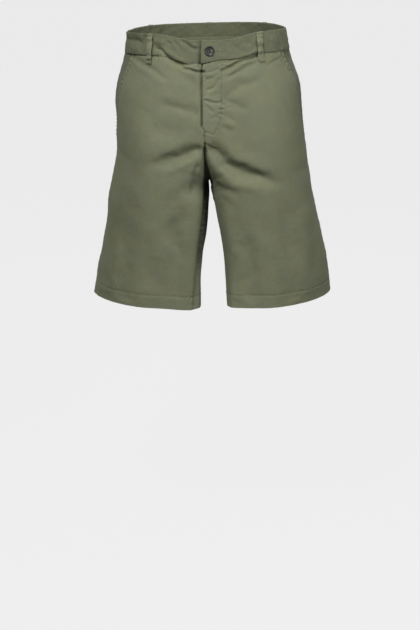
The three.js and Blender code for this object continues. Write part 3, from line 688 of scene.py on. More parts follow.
def seam_waves(side, face, u, v, x, z, width, down, up, to_edge):
    """What the seams, hems and stitch lines of a panel draw up in its surface."""
    seed = 100 + 10 * (side > 0) + 5 * (face == "back")
    from_inner, from_seam = u * width, (1 - u) * width
    waves = pucker(down, from_inner, 0.42, 8.5, 7.5, seed, 0.25)
    waves = waves + 0.5 * pucker(down, from_inner, 0.42, 21.0, 20.0, seed + 1) - 1.5 * bell(down, 2.8)
    waves = waves + pucker(up - HEM_DEPTH, from_inner, 0.30, 9.0, 8.0, seed + 2, 0.5)
    waves = waves + pucker(up, from_inner, 0.35, 31.0, 22.0, seed + 3)
    waves = waves - 1.0 * bell(up - HEM_DEPTH, 1.5) - 0.35 * smooth(up, HEM_DEPTH - 1, HEM_DEPTH + 2)
    in_leg = smooth(v, CROTCH_V + 0.01, CROTCH_V + 0.06)
    waves = waves + in_leg * pucker(from_inner, z, 0.40, 13.0, 9.0, seed + 4, 0.4)
    waves = waves + 0.35 * in_leg * bell(from_inner - 6, 3.5)
    waves = waves + (1 - in_leg) * pucker(from_inner, down, 0.28, 9.0, 6.0, seed + 5, 0.3)
    waves = waves + pucker(from_seam, z, 0.34, 16.0, 10.0, seed + 6, 0.35)
    waves = waves + 0.35 * bell(from_seam - 7, 4.0)
    waves = waves + 0.9 * wobble(z, z * 0, 30, 70 + side) * bell(from_seam, 26) * smooth(up, 0, 40)
    if face == "front":
        mouth = smooth(z, BAND_BOTTOM - POCKET_LENGTH - 6, BAND_BOTTOM - POCKET_LENGTH + 14)
        waves = waves + mouth * pucker(to_edge - 6, z, 0.9, 8.0, 6.0, seed + 7, 0.5)
        waves = waves + mouth * 0.5 * np.exp(-((to_edge / 5.2) ** 4))
        waves = waves - mouth * 1.9 * bell(to_edge - MOUTH_STITCH, 2.0)
    if face == "front" and side == LEFT:
        away, along = distance_to_line(x, z, J_STITCH)
        strong = 0.3 + 0.7 * smooth(z, -150, -126) * (1 - smooth(z, -100, -82))
        gathered = pucker(away, 125 * along, 0.35, 12.0, 6.0, seed + 8, 0.7)
        rumpled = wobble(x * 0.45 + z * 0.15, z - 0.35 * x, 5.5, seed + 18, 9) * bell(away - 1, 7.5)
        waves = waves + strong * (gathered + 0.95 * rumpled) * (0.6 + 0.4 * wobble(x, z, 14, seed + 28))
        waves = waves - 0.7 * bell(away, 1.5) + 0.35 * bell(away - 3.5, 2.5)
        flap = smooth(z, FLY_FOOT_Z - 10, FLY_FOOT_TOP)
        waves = waves + flap * pucker(from_inner - 6, z, 0.35, 19.0, 9.0, seed + 9, -0.6)
    if face == "back":
        away, _ = distance_to_line(x, z, DARTS[side])
        waves = waves - 0.8 * bell(away, 1.5) + 0.3 * bell(away, 7.0)
    return waves


def dye_and_painted_shade(side, face, x, z, down, up, to_edge):
    """How much darker the colour is, 0 to 1: partly dye and partly painted shade in the stitch grooves at
    the waist seam, hem, pocket mouths and fly, and painted shadow between the legs on the back.
    """
    total = 0.6 * bell(down, 2.4) + 0.5 * bell(up - HEM_DEPTH, 1.6)
    if face == "front":
        mouth = smooth(z, BAND_BOTTOM - POCKET_LENGTH - 6, BAND_BOTTOM - POCKET_LENGTH + 14)
        total = total + mouth * 1.1 * bell(to_edge - MOUTH_STITCH, 2.4)
    if face == "front" and side == LEFT:
        away, _ = distance_to_line(x, z, J_STITCH)
        total = total + 0.7 * bell(away, 1.6)
    if face == "back":
        # painted shadow between the legs, on the back panels
        between = smooth(z, *LEG_GAP_SHADE_LOW) * (1 - smooth(z, *LEG_GAP_SHADE_HIGH))
        total = total + LEG_GAP_SHADE * between * (1 - smooth(side * x, *LEG_GAP_SHADE_ACROSS))
    return total * (0.7 + 0.3 * wobble(x, z, 5, 88))


def panel_form(side, face):
    """A panel's bare form and its normals, and each point's u, v and row width."""
    rows = crowded(PANEL_ROWS, (0, 0.26, 1.0), (CROTCH_V, 0.06, 0.5), (1, 0.06, 0.6))
    vs = mix(WAIST_GAP_V, 1, with_edges(rows, PANEL_LENGTH))
    even = crowded(PANEL_COLUMNS, (0, 0.14, 0.9), (1, 0.1, 0.5))
    us = []
    for v in vs:
        width = panel_width(side, face, v)
        start = 0.02 / width if v > CROTCH_V - 0.01 else 0
        end = 1 - 0.02 / width - (mouth_share(v, width) if face == "front" else 0)
        us.append(mix(start, end, with_edges(even, width)))
    base, widths = form_grid(side, face, us, vs)
    base = eased(base, vs)
    normals = grid_normals(base, side * depth_sign(face))
    u, width = np.array(us), widths[:, None]
    in_leg = smooth(vs[:, None], CROTCH_V - 0.03, CROTCH_V + 0.03)
    normals[..., 1] *= 1 - np.maximum(smooth(u, 0.95, 1), in_leg * (1 - smooth(u, 0, 0.05)))
    normals[..., 0] *= mix(smooth(u * width, 0, 9), 1, in_leg)
    normals /= np.maximum(np.linalg.norm(normals, axis=-1, keepdims=True), 1e-6)
    return base, normals, u, vs, width


def tuck_of(side, face, x):
    """How much of the tuck behind the waistband each point takes, and how far inside it lies."""
    if face == "back":
        return 1.0, TUCK_IN
    if side == LEFT:
        return smooth(x, *LEFT_TUCK_ACROSS), TUCK_IN
    from_side, to_side, from_flap, to_flap = RIGHT_TUCK_ACROSS
    further = smooth(x, from_side, to_side) * (1 - smooth(x, from_flap, to_flap))
    return 1.0, (TUCK_IN + RIGHT_TUCK_IN * further)[..., None]


def panel_surfaces(side, face):
    """The panel's outer and inner grids, each point's u, v, distance to its edge, and its bare form."""
    base, normals, u, vs, width = panel_form(side, face)
    v = vs[:, None]
    x, z = base[..., 0], base[..., 2]
    down = lengths_down(base)
    up = down[-1] - down
    to_inner = lengths_across(base)
    to_edge = to_inner[:, -1:] - to_inner
    beside_seam = mix(1, smooth(u * width, 0, 16), smooth(v, CROTCH_V - 0.1, CROTCH_V))
    calm = smooth((1 - u) * width, 0, 18) * beside_seam
    calm = calm * (0.35 + 0.65 * smooth(up, 0, 30))
    move = calm * relief(face, x, z) - recess(side, face, x, z)
    move = move + seam_waves(side, face, u, v, x, z, width, down, up, to_edge)
    roll = sum(edge_roll(d, CLOTH) for d in (down, up, to_edge, to_inner))
    outer = base + normals * (move + np.maximum(roll, -CLOTH / 2))[..., None]
    thick = CLOTH + 0.9 * (1 - smooth(up, HEM_DEPTH - 0.5, HEM_DEPTH + 1.5))
    inner = base + normals * (move - thick - np.maximum(roll, -CLOTH / 2) * 0.9)[..., None]
    share, inward = tuck_of(side, face, x)
    outer, inner = (tucked(layer, base, normals, down, inward, share) for layer in (outer, inner))
    for layer in (outer, inner):
        keep_to_side(layer, base, side, vs)
    return outer, inner, u, vs, down, to_edge, base


def tucked(layer, base, normals, down, inward, share=1.0):
    """Takes the top edge of a grid up behind the waistband."""
    share = share * (1 - smooth(down, 0, TUCK_FROM))
    up = base[0] - base[6]
    up = up / np.linalg.norm(up, axis=-1, keepdims=True)
    return layer + share[..., None] * (TUCK_UP * up - inward * normals)


def eased(base, vs):
    """Softens the change of slope where the rise ends and the leg begins."""
    near = bell(vs - CROTCH_V, 0.07)[1:-1, None, None]
    for _ in range(int(40 * QUALITY)):
        middle = (base[:-2] + base[2:]) / 2
        moved = base[1:-1] + (middle - base[1:-1]) * near * 0.9
        moved[:, 0] = base[1:-1, 0]
        moved[:, -1] = base[1:-1, -1]
        base = np.concatenate([base[:1], moved, base[-1:]])
    return base


def keep_to_side(layer, base, side, vs):
    """Keeps a panel on its own side of the centre seam."""
    edge = base[:, :1, 0]
    over = (side * (layer[..., 0] - edge) < 0) & (vs[:, None] <= CROTCH_V)
    layer[..., 0] = np.where(over, edge, layer[..., 0])


def edge_wear(*distances):
    return np.clip(sum(bell(d, 1.6) for d in distances), 0, 1)


SURFACES = {}


def make_panel(name, side, face):
    outer, inner, u, vs, down, to_edge, base = panel_surfaces(side, face)
    facing = side * depth_sign(face)
    up = down[-1] - down
    ridges = outer - base
    raised = np.einsum("ijk,ijk->ij", ridges, grid_normals(base, facing))
    mouth = to_edge + (40 * smooth(BAND_BOTTOM - base[..., 2], POCKET_LENGTH, 0) if face == "front" else 0)
    wear_and_shade = edge_wear(up, mouth, down) + 0.25 * smooth(raised - blurred(raised, 12), 0.1, 1.2)
    # darker for dye and painted shade at the stitches, and painted shadow between the legs
    wear_and_shade = wear_and_shade - dye_and_painted_shade(side, face, base[..., 0], base[..., 2], down, up, to_edge)
    uvs = np.stack([side * lengths_across(base), -down], -1)
    made = rounded_shell(name, outer, inner, uvs, wear_and_shade)
    SURFACES[name] = Surface(outer, grid_normals(outer, facing), u, vs)
    area = grid_area(base)
    return made, area, float(lengths_across(base)[:, -1].max()), float(down[-1].max())


def grid_area(grid):
    a, b = grid[1:, :-1] - grid[:-1, :-1], grid[:-1, 1:] - grid[:-1, :-1]
    c, d = grid[1:, :-1] - grid[1:, 1:], grid[:-1, 1:] - grid[1:, 1:]
    halves = np.linalg.norm(np.cross(a, b), axis=-1) + np.linalg.norm(np.cross(c, d), axis=-1)
    return float(halves.sum()) / 2 * MM * MM


# ------------------------------------------------------------------ waistband


def band_relief(turns, x, y, z):
    """The folds that the waistband shares with the panels under it."""
    front, back = relief("front", x, z), relief("back", x, z)
    total = mix(front, back, smooth(y, -15, 15))
    to_side = np.minimum(abs(turns - 1), abs(turns - 3)) * QUARTER_LENGTH
    return total * smooth(to_side, 0, 18)


def band_dye_and_shade(turns, along, top, bottom):
    """Where the waistband is darker: dye and painted shade at its stitches, painted shadow beside the tab
    and the loops, and painted shade on its buckled top.
    """
    dye_and_shade = 0.5 * bell(top - BAND_STITCH_IN, 1.2) + 0.7 * bell(bottom - 2, 1.8)
    beside_tab = (BAND_TAB_END - 4) * QUARTER_LENGTH + 1.0
    low = top / BAND_HEIGHT
    # painted shadows beside the tab's edge and beside the loops
    dye_and_shade = dye_and_shade + (1.4 + low) * bell(along - beside_tab - 0.8 * low, 1.3 + 1.7 * low)
    dye_and_shade = dye_and_shade + 0.9 * loop_edge_shadow(along, top)
    # painted shade over the top of the band where it buckles, towards the wearer's right side
    buckle_shade = smooth(turns, 0.56, 0.6) * (1 - smooth(turns, 0.98, 1.1))
    return dye_and_shade + 0.8 * buckle_shade * (1 - smooth(top, 9, 13))


def make_waistband():
    length = QUARTER_LENGTH * (BAND_TAB_END - BAND_UNDER_END)
    shares = with_edges(np.linspace(0, 1, BAND_COLUMNS), length)
    turns = mix(BAND_UNDER_END, BAND_TAB_END, shares)
    rows = with_edges(crowded(BAND_ROWS, (0, 0.1, 0.6), (1, 0.1, 0.6)), BAND_HEIGHT)
    heights = mix(BAND_TOP, BAND_BOTTOM, rows)
    base = band_form(turns, heights)
    normals = grid_normals(base, 1.0)
    x, y, z = base[..., 0], base[..., 1], base[..., 2]
    outside = np.sign(np.einsum("ijk,ijk->ij", normals, base * (1, 1, 0)).mean())
    normals = normals * outside
    along = turns[None, :] * QUARTER_LENGTH
    top, bottom = BAND_TOP - heights[:, None], heights[:, None] - BAND_BOTTOM
    from_under = (turns - BAND_UNDER_END) * QUARTER_LENGTH
    from_tab = (BAND_TAB_END - turns) * QUARTER_LENGTH
    ends = np.minimum(from_under, from_tab)[None, :] + 0 * x
    move = band_relief(turns[None, :], x, y, z) * (0.6 + 0.4 * smooth(top, 0, 12))
    move = move + pucker(bottom - 2, along + 0 * x, 0.4, 8.5, 6.0, 301, 0.25)
    move = move + pucker(top - 3, along + 0 * x, 0.35, 11.0, 6.0, 303, -0.2)
    move = move + 0.6 * wobble(along, heights[:, None], 17, 305)
    move = move + 0.3 * wobble(along, heights[:, None], 8, 306)
    move = move - 0.3 * bell(bottom - BAND_STITCH_IN, 1.0) - 0.25 * bell(top - BAND_STITCH_IN, 1.0)
    lowered = (BAND_THICK + 0.4) * (1 - smooth(turns, 0.1, 0.26))[None, :]
    proud = BAND_PROUD + 0.25 * smooth(turns, 3.9, 4.0)[None, :]
    edges = (top, bottom, from_under[None, :], from_tab[None, :])
    roll = sum(edge_roll(d + 0 * x, BAND_THICK) for d in edges)
    roll = np.maximum(roll, -BAND_THICK / 2)
    outer = base + normals * (proud + move - lowered + roll)[..., None]
    inner = base + normals * (proud + move - lowered - BAND_THICK - roll * 0.9)[..., None]
    # darker for dye and painted shade on the band
    dye_and_shade = band_dye_and_shade(turns, along, top, bottom)
    wear_and_shade = 0.6 * edge_wear(top + 0 * x, ends) - dye_and_shade * (0.7 + 0.3 * wobble(along, heights[:, None], 5, 307))
    uvs = np.stack([along + 0 * x, heights[:, None] + 0 * x], -1)
    made = rounded_shell("waistband", outer, inner, uvs, wear_and_shade)
    across = np.tile(turns, (len(rows), 1))
    SURFACES["waistband"] = Surface(outer, grid_normals(outer, outside), across, rows)
    return made, length


# ------------------------------------------------------------------ small pieces of cloth


def strip(name, centre_rows, thick, uv_rows):
    """A strip of cloth from rows of (points, normals) across it."""
    points = np.array([row[0] for row in centre_rows])
    normals = np.array([row[1] for row in centre_rows])
    down, across = lengths_down(points), lengths_across(points)
    up, other = down[-1] - down, across[:, -1:] - across
    roll = sum(edge_roll(d, thick) for d in (down, up, across, other))
    roll = np.maximum(roll, -thick * 0.45)[..., None]
    outer = points + normals * roll
    inner = points - normals * (thick + roll)
    wear_and_shade = edge_wear(across, other, down, up)
    return rounded_shell(name, outer, inner, uv_rows, wear_and_shade), outer


def make_fly_facing():
    """The cloth that backs the fly, under the left front, out to the stitched curve."""
    rows = crowded(int(70 * QUALITY)) * 0.27 + 0.004
    made_rows, uv_rows = [], []
    for v in rows:
        width = panel_width(LEFT, "front", v)
        low = float(smooth(v, 0.17, 0.274))
        start, reach = 1.6 / width, mix(30.0, 9.0, low**2) / width
        across = np.linspace(start, start + reach, int(20 * QUALITY))
        points, normals = SURFACES["front_left_cloth"].at(across, np.full(len(across), v))
        made_rows.append((points - normals * (CLOTH + LAYER), normals))
        uv_rows.append(np.stack([across * width, np.full(len(across), -v * PANEL_LENGTH)], -1))
    return strip("fly_facing_cloth", made_rows, 0.9, np.array(uv_rows))


FACING_DEPTH = CLOTH + LAYER + 1.0


def make_pocket_facing(side):
    """The cloth behind the pocket mouth, which comes up to the side seam and runs on under the front."""
    bottom = CROTCH_V * (POCKET_LENGTH + 8) / (BAND_BOTTOM - CROTCH_Z - SIDE_LIFT_AT_CROTCH)
    rows = crowded(int(110 * QUALITY)) * (bottom - 0.0012) + 0.0012
    us, shapes = [], []
    for v in rows:
        width = panel_width(side, "front", v)
        share = mouth_share(v, width)
        across = np.linspace(1 - share - POCKET_UNDERLAP / width, 1 - 0.02 / width, int(44 * QUALITY))
        us.append(across)
        shapes.append((width, share))
    base, _ = form_grid(side, "front", us, rows)
    normals = grid_normals(base, side * depth_sign("front"))
    u = np.array(us)
    width, share = (np.array([s[i] for s in shapes])[:, None] for i in (0, 1))
    normals[..., 1] *= 1 - smooth(u, 0.95, 1)
    normals /= np.linalg.norm(normals, axis=-1, keepdims=True)
    from_seam = (1 - u) * width
    strip_width = share * width
    x, z = base[..., 0], base[..., 2]
    calm = smooth(from_seam, 0, 18)
    move = calm * relief("front", x, z)
    down = lengths_down(base)
    seed = 160 + 10 * (side > 0)
    move = move + pucker(from_seam, z, 0.34, 16.0, 10.0, 106 + 10 * (side > 0), 0.35)
    move = move + pucker(from_seam - strip_width, z, 0.7, 12.0, 7.0, seed, 0.4)
    bare = np.clip(1 - from_seam / np.maximum(strip_width, 0.1), 0, 1)
    under = 1 - smooth(bare, 0.05, 0.8) * smooth(strip_width, 1, 9)
    move = move - under * FACING_DEPTH + 0.35 * bell(from_seam - 5, 3.0) * (1 - under)
    move = move + 0.9 * wobble(z, z * 0, 30, 70 + side) * bell(from_seam, 26)
    points = tucked(base + normals * move[..., None], base, normals, down, FACING_TUCK_IN)
    uvs = np.stack([u * width, -down], -1)
    rows_of = [(points[i], normals[i]) for i in range(len(rows))]
    return strip(f"pocket_facing_{SIDE_WORDS[side]}_cloth", rows_of, 0.9, uvs)


def loop_path(turn, heights):
    """Points and normals straight down the waistband at a turn, and on down the panel under it."""
    in_band = heights[heights >= BAND_BOTTOM + 1]
    surface = SURFACES["waistband"]
    points, normals = surface.at(np.full(len(in_band), turn), (BAND_TOP - in_band) / BAND_HEIGHT)
    whole = int(math.floor(turn))
    side, face = BAND_SIDES[whole % 4]
    panels = [SURFACES[f"{face}_{SIDE_WORDS[side]}_cloth"]]
    if turn == 2.0:
        panels = [SURFACES["back_right_cloth"], SURFACES["back_left_cloth"]]
    grid = np.concatenate([p.points[:60].reshape(-1, 3) for p in panels])
    facing = np.concatenate([p.normals[:60].reshape(-1, 3) for p in panels])
    fall = (points[-1] - points[0]) / (in_band[0] - in_band[-1])
    below = []
    for z in heights[len(in_band):]:
        target = points[-1] + fall * (in_band[-1] - z)
        away = np.linalg.norm(grid - target, axis=1)
        nearest = np.argsort(away)[:12]
        weight = 1 / (away[nearest] + 0.3)
        normal = (facing[nearest] * weight[:, None]).sum(0) / weight.sum()
        normal /= np.linalg.norm(normal)
        middle = (grid[nearest] * weight[:, None]).sum(0) / weight.sum()
        below.append((target + normal * np.dot(middle - target, normal), normal))
    points = np.concatenate([points, [b[0] for b in below]])
    return points, np.concatenate([normals, [b[1] for b in below]])


LOOP_TURNS = dict(
    belt_loop_front_right=0.522, belt_loop_back_right=1.45, belt_loop_centre_back=2.0,
    belt_loop_back_left=2.55, belt_loop_front_left=3.55,
)
# How far each loop stands off in its middle, leans sideways, buckles, and drifts sideways to its foot.
LOOP_LIE = dict(
    belt_loop_front_right=(3.0, 2.6, 0.25, 5.2), belt_loop_back_right=(2.6, -0.6, 0.5, 0.0),
    belt_loop_centre_back=(2.8, 0.3, 0.4, 0.0), belt_loop_back_left=(2.4, 0.9, 0.6, 0.0),
    belt_loop_front_left=(1.9, -3.2, 1.0, -1.2),
)
LOOP_STIFF = 0.85


def loop_edge_shadow(along, top):
    """How near each point of the waistband is to a belt loop's edge, 0 to 1, for the painted shadow beside
    the loops.
    """
    total = np.zeros(np.broadcast(along, top).shape)
    for name, turn in LOOP_TURNS.items():
        middle = turn * QUARTER_LENGTH - LOOP_LIE[name][3] * top / (BAND_HEIGHT + LOOP_BELOW_BAND)
        total += bell(abs(along - middle) - LOOP_WIDTH / 2 - 0.6, 1.1)
    return total


def loop_stand(share, stand, buckle, seed):
    """How far a loop stands off along its run, and how free of its tacks it is there."""
    tack = LOOP_TACK / LOOP_CUT
    free = smooth(share, tack, tack + 0.12) * (1 - smooth(share, 1 - tack - 0.12, 1 - tack))
    wave = buckle * np.sin(2 * math.pi * (3.1 * share + 0.3 * math.sin(7 * share.mean() + seed))) * free
    off = LOOP_THICK + BAND_THICK * 0.15 + 0.45 + stand * free + wave
    off = off + 0.9 * smooth(share, 1 - tack, 1 - tack + 0.02)
    return off + 0.35 * (1 - smooth(share, tack - 0.02, tack)), free


def make_loop(name):
    """A belt loop: a strip that stands off the waistband and lies down at its two tacked ends."""
    turn = LOOP_TURNS[name]
    stand, lean, buckle, drift = LOOP_LIE[name]
    seed = int(turn * 100)
    heights = np.linspace(BAND_TOP - 0.4, BAND_BOTTOM - LOOP_BELOW_BAND, int(84 * QUALITY))
    middle, normal = loop_path(turn, heights)
    for _ in range(14):
        middle[1:-1] = (middle[:-2] + middle[2:] + 2 * middle[1:-1]) / 4
        normal[1:-1] = (normal[:-2] + normal[2:] + 2 * normal[1:-1]) / 4
    normal = mix(normal, normal.mean(0), LOOP_STIFF)
    normal /= np.linalg.norm(normal, axis=1, keepdims=True)
    share = np.linspace(0, 1, len(heights))
    sideways = np.cross(normal, np.gradient(middle, axis=0))
    sideways /= np.linalg.norm(sideways, axis=1, keepdims=True)
    stand_off, free = loop_stand(share, stand, buckle, seed)
    across = with_edges(np.linspace(0, 1, int(22 * QUALITY)), LOOP_WIDTH) - 0.5
    rows, uv_rows = [], []
    for i, s in enumerate(share):
        narrow = 1 - 0.06 * free[i] * (1 + math.sin(9 * s + seed))
        sway = 0.25 * float(wobble(np.array(s * 60), np.array(0.0), 22, seed))
        shift = lean * math.sin(math.pi * s) + drift * s + sway
        sink = -0.35 * bell((abs(across) - 0.35) * LOOP_WIDTH, 0.8)
        crown = 0.45 * (0.25 - across**2) * 4 * free[i]
        ripple = 0.28 * buckle * np.sin(across * 9 + 18 * s + seed) * free[i]
        offsets = (stand_off[i] + sink + crown + ripple)[:, None]
        places = (across * LOOP_WIDTH * narrow + shift)[:, None]
        points = middle[i] + sideways[i] * places + normal[i] * offsets
        rows.append((points, np.tile(normal[i], (len(across), 1))))
        uv_rows.append(np.stack([across * LOOP_WIDTH, np.full(len(across), -s * LOOP_CUT)], -1))
    made, outer = strip(name + "_cloth", rows, LOOP_THICK, np.array(uv_rows))
    facing = outward_sign(outer, normal)
    across = np.tile(across, (len(rows), 1))
    SURFACES[name] = Surface(outer, grid_normals(outer, facing), across, share)
    return made


def outward_sign(grid, normal):
    middle = grid_normals(grid)[:, grid.shape[1] // 2]
    return float(np.sign(np.einsum("ij,ij->i", middle, normal).sum()))


# ------------------------------------------------------------------ thread

STITCH_LENGTH, STITCH_PITCH = 2.3, 3.0
THREAD_SIDES = 6
# The rings of a short thread: how far along it, how thick, and how far it rises.
THREAD_RINGS = [
    (-0.5, 0.35, -0.2), (-0.34, 0.85, 0.08), (0.0, 1.0, 0.16), (0.34, 0.85, 0.08), (0.5, 0.35, -0.2),
]


def thread_bars(name, bars, radius=0.24):
    """One mesh of many short threads: each bar is (middle, along, normal, length)."""
    sides = THREAD_SIDES
    angles = np.linspace(0, 2 * math.pi, sides, endpoint=False)
    vertices, faces = [], []
    for middle, along, normal, length in bars:
        along = along / np.linalg.norm(along)
        normal = normal - along * np.dot(normal, along)
        normal /= np.linalg.norm(normal)
        side = np.cross(along, normal)
        start = len(vertices)
        for place, thick, rise in THREAD_RINGS:
            at = middle + along * place * length + normal * rise
            for angle in angles:
                vertices.append(at + radius * thick * (side * math.cos(angle) + normal * math.sin(angle)))
        for ring in range(len(THREAD_RINGS) - 1):
            for i in range(sides):
                a, b = start + ring * sides + i, start + ring * sides + (i + 1) % sides
                faces.append([a, b, b + sides, a + sides])
        faces.append([start + i for i in reversed(range(sides))])
        faces.append([start + (len(THREAD_RINGS) - 1) * sides + i for i in range(sides)])
    return new_object(name, np.array(vertices), faces)


def at_length(at, lengths, values):
    return np.array([np.interp(at, lengths, values[:, k]) for k in range(3)])


def stitched(surface, across, down, pitch=STITCH_PITCH, length=STITCH_LENGTH, lift=0.05):
    """Bars along a line of places on a surface."""
    points, normals = surface.at(np.asarray(across, float), np.asarray(down, float))
    lengths, _ = shares_along(points)
    count = int(lengths[-1] / pitch)
    bars = []
    for i in range(count):
        at = (i + 0.5) * lengths[-1] / count
        along = at_length(at + 0.8, lengths, points) - at_length(at - 0.8, lengths, points)
        normal = at_length(at, lengths, normals)
        if np.linalg.norm(along) > 1e-6:
            bars.append((at_length(at, lengths, points) + normal * lift, along, normal, length))
    return bars


def panel_places(name, xz):
    """Where points given across and up lie on a panel, as shares across and down."""
    surface = SURFACES[name]
    across, down = [], []
    grid_x, grid_z = surface.points[..., 0], surface.points[..., 2]
    for x, z in xz:
        away = (grid_x - x) ** 2 + (grid_z - z) ** 2
        r, c = np.unravel_index(np.argmin(away), away.shape)
        across.append(surface.across[r, c])
        down.append(surface.down[r])
    return np.array(across), np.array(down)


def fine_line(points):
    """A line's places every 2 mm."""
    points = np.array(points, float)
    lengths, _ = shares_along(points)
    at = np.arange(0, lengths[-1], 2.0)
    return np.stack([np.interp(at, lengths, points[:, k]) for k in range(2)], -1)


def panel_stitches(name, side, face):
    surface = SURFACES[name]
    last = surface.across[-1]
    hem = mix(last[0], last[-1], np.linspace(0, 1, 240))
    bars = stitched(surface, hem, hem_line(surface, hem))
    if face == "front":
        bottom = CROTCH_V * POCKET_LENGTH / (BAND_BOTTOM - CROTCH_Z - SIDE_LIFT_AT_CROTCH)
        vs = np.linspace(0.002, bottom * 0.985, 160)
        widths = np.array([panel_width(side, face, v) for v in vs])
        mouths = np.array([mouth_share(v, w) for v, w in zip(vs, widths)])
        bars += stitched(surface, 1 - mouths - MOUTH_STITCH / widths, vs)
    if name == "front_left_cloth":
        line = fine_line([(25, -34 + 3)] + J_STITCH[1:] + [(4.5, -153)])
        across, down = panel_places(name, line)
        bars += stitched(surface, soft_run(across), soft_run(down))
    if face == "back":
        across, down = panel_places(name, fine_line(DARTS[side]))
        bars += stitched(surface, soft_run(across), soft_run(down), lift=-0.25)
    return bars


def soft_run(values):
    padded = np.pad(values, 4, mode="edge")
    return np.convolve(padded, np.ones(9) / 9, mode="valid")


def hem_line(surface, across):
    """The share down, at each place across the hem, that lies the hem's depth above its edge."""
    down = []
    places = np.linspace(0.86, 1, 40)
    for a in across:
        points, _ = surface.at(np.full(40, a), places)
        lengths, _ = shares_along(points)
        down.append(np.interp(lengths[-1] - HEM_DEPTH, lengths, places))
    return np.array(down)


def band_stitches():
    surface = SURFACES["waistband"]
    bars = []
    high, low = BAND_STITCH_IN / BAND_HEIGHT, (BAND_HEIGHT - BAND_STITCH_IN) / BAND_HEIGHT
    tab_end = BAND_TAB_END - TAB_STITCH_IN / QUARTER_LENGTH
    turns = np.linspace(0.16, tab_end, 900)
    bars += stitched(surface, turns, np.full(900, low))
    bars += stitched(surface, turns, np.full(900, high))
    bars += stitched(surface, np.full(40, tab_end), np.linspace(high, low, 40))
    return bars


def loop_stitches(name):
    surface = SURFACES[name]
    bars = []
    down = np.linspace(0.03, 0.97, 80)
    for place in (-0.35, 0.35):
        bars += stitched(surface, np.full(80, place), down, 2.6, 2.0)
    return bars


def bar_tacks(name):
    """Rows of short threads close together across the two ends of a loop."""
    surface = SURFACES[name]
    bars = []
    for at in (0.055, 0.945):
        places = np.linspace(-0.42, 0.42, 17)
        points, normals = surface.at(places, np.full(17, at))
        upper, _ = surface.at(places, np.full(17, at - 0.012))
        for point, normal, other in zip(points, normals, upper):
            bars.append((point + normal * 0.12, other - point + 1e-4 * normal, normal, 1.7))
    return bars


def tack_on_panel(name, start, end, count, length):
    """A bar tack on a panel from one place to another, given across and up."""
    line = np.stack([np.linspace(start[k], end[k], count) for k in range(2)], -1)
    across, down = panel_places(name, line)
    points, normals = SURFACES[name].at(soft_run(across), soft_run(down))
    along = points[-1] - points[0]
    return [(p + n * 0.15, np.cross(n, along), n, length) for p, n in zip(points, normals)]


# ------------------------------------------------------------------ button and buttonhole


def button_frame():
    low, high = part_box("button")
    centre = np.array((low + high) / 2) / MM
    around = SURFACES["waistband"].at(np.array([4.0]), np.array([0.5]))
    normal = around[1][0]
    co = np.zeros(len(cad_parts["button"].data.vertices) * 3)
    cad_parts["button"].data.vertices.foreach_get("co", co)
    points = co.reshape(-1, 3) / MM
    spread = np.linalg.svd(points - points.mean(0))[2][-1]
    axis = spread * np.sign(np.dot(spread, normal))
    return centre, axis


# The button's face and back, from its middle and round its edge: shares of its radius and height.
BUTTON_FACE = [
    (0.0, 0.36), (0.55, 0.34), (0.66, 0.42), (0.72, 0.74), (0.78, 0.93), (0.85, 1.0), (0.92, 0.96),
    (0.975, 0.82), (1.0, 0.6),
]
BUTTON_BACK = [(0.985, 0.36), (0.93, 0.2), (0.8, 0.08), (0.5, 0.0)]
BUTTON_RINGS, BUTTON_TURNS = 64, 112


def button_disc(centre, right, up, axis):
    """The vertices and faces of a four-hole button with a raised rim and a dished face."""
    radius, height, turns = BUTTON_RADIUS, BUTTON_HEIGHT, BUTTON_TURNS
    shares = np.linspace(0, 1, BUTTON_RINGS)[1:]
    outline = [(r, float(np.interp(r, *zip(*BUTTON_FACE)))) for r in shares] + BUTTON_BACK
    holes = [(a * BUTTON_HOLE_STEP, b * BUTTON_HOLE_STEP) for a in (-1, 1) for b in (-1, 1)]
    vertices, faces = [], []
    for i, (r, h) in enumerate(outline):
        for angle in np.linspace(0, 2 * math.pi, turns, endpoint=False):
            x, y = r * radius * math.cos(angle), r * radius * math.sin(angle)
            z = h * height
            if i < len(shares):
                nearest = min(math.hypot(x - a, y - b) for a, b in holes)
                z -= 1.05 * (1 - float(smooth(nearest, 0.72, 1.0)))
                z += 0.03 * math.sin(x * 2.1 + 1) * math.sin(y * 1.7)
            vertices.append(centre + right * x + up * y + axis * (z - height / 2))
    for i in range(len(outline) - 1):
        for j in range(turns):
            a, b = i * turns + j, i * turns + (j + 1) % turns
            faces.append([a, b, b + turns, a + turns])
    vertices.append(centre + axis * (0.36 * height - height / 2))
    vertices.append(centre - axis * height / 2)
    top, bottom, last = len(vertices) - 2, len(vertices) - 1, (len(outline) - 1) * turns
    faces += [[top, (j + 1) % turns, j] for j in range(turns)]
    faces += [[bottom, last + j, last + (j + 1) % turns] for j in range(turns)]
    return np.array(vertices), faces


def make_button():
    """The button, and the thread through its holes."""
    centre, axis = button_frame()
    up = np.array([0, 0, 1.0]) - axis * axis[2]
    up /= np.linalg.norm(up)
    right = np.cross(up, axis)
    made = new_object("button_resin_disc", *button_disc(centre, right, up, axis))
    face_outwards(made)
    bars = []
    for sign in (-1, 1):
        for shift in (-0.32, 0.0, 0.32):
            depth = 0.46 * BUTTON_HEIGHT - BUTTON_HEIGHT / 2
            middle = centre + up * (sign * BUTTON_HOLE_STEP + shift) + axis * depth
            bars.append((middle, right, axis, 4.3))
    return made, thread_bars("button_thread", bars, 0.26)


def satin_bar(surface, turns, downs):
    """One thread between two places on the waistband."""
    points, normals = surface.at(np.array(turns), np.array(downs))
    return (points[0] + points[1]) / 2 + normals[0] * 0.25, points[1] - points[0], normals[0], 1.6


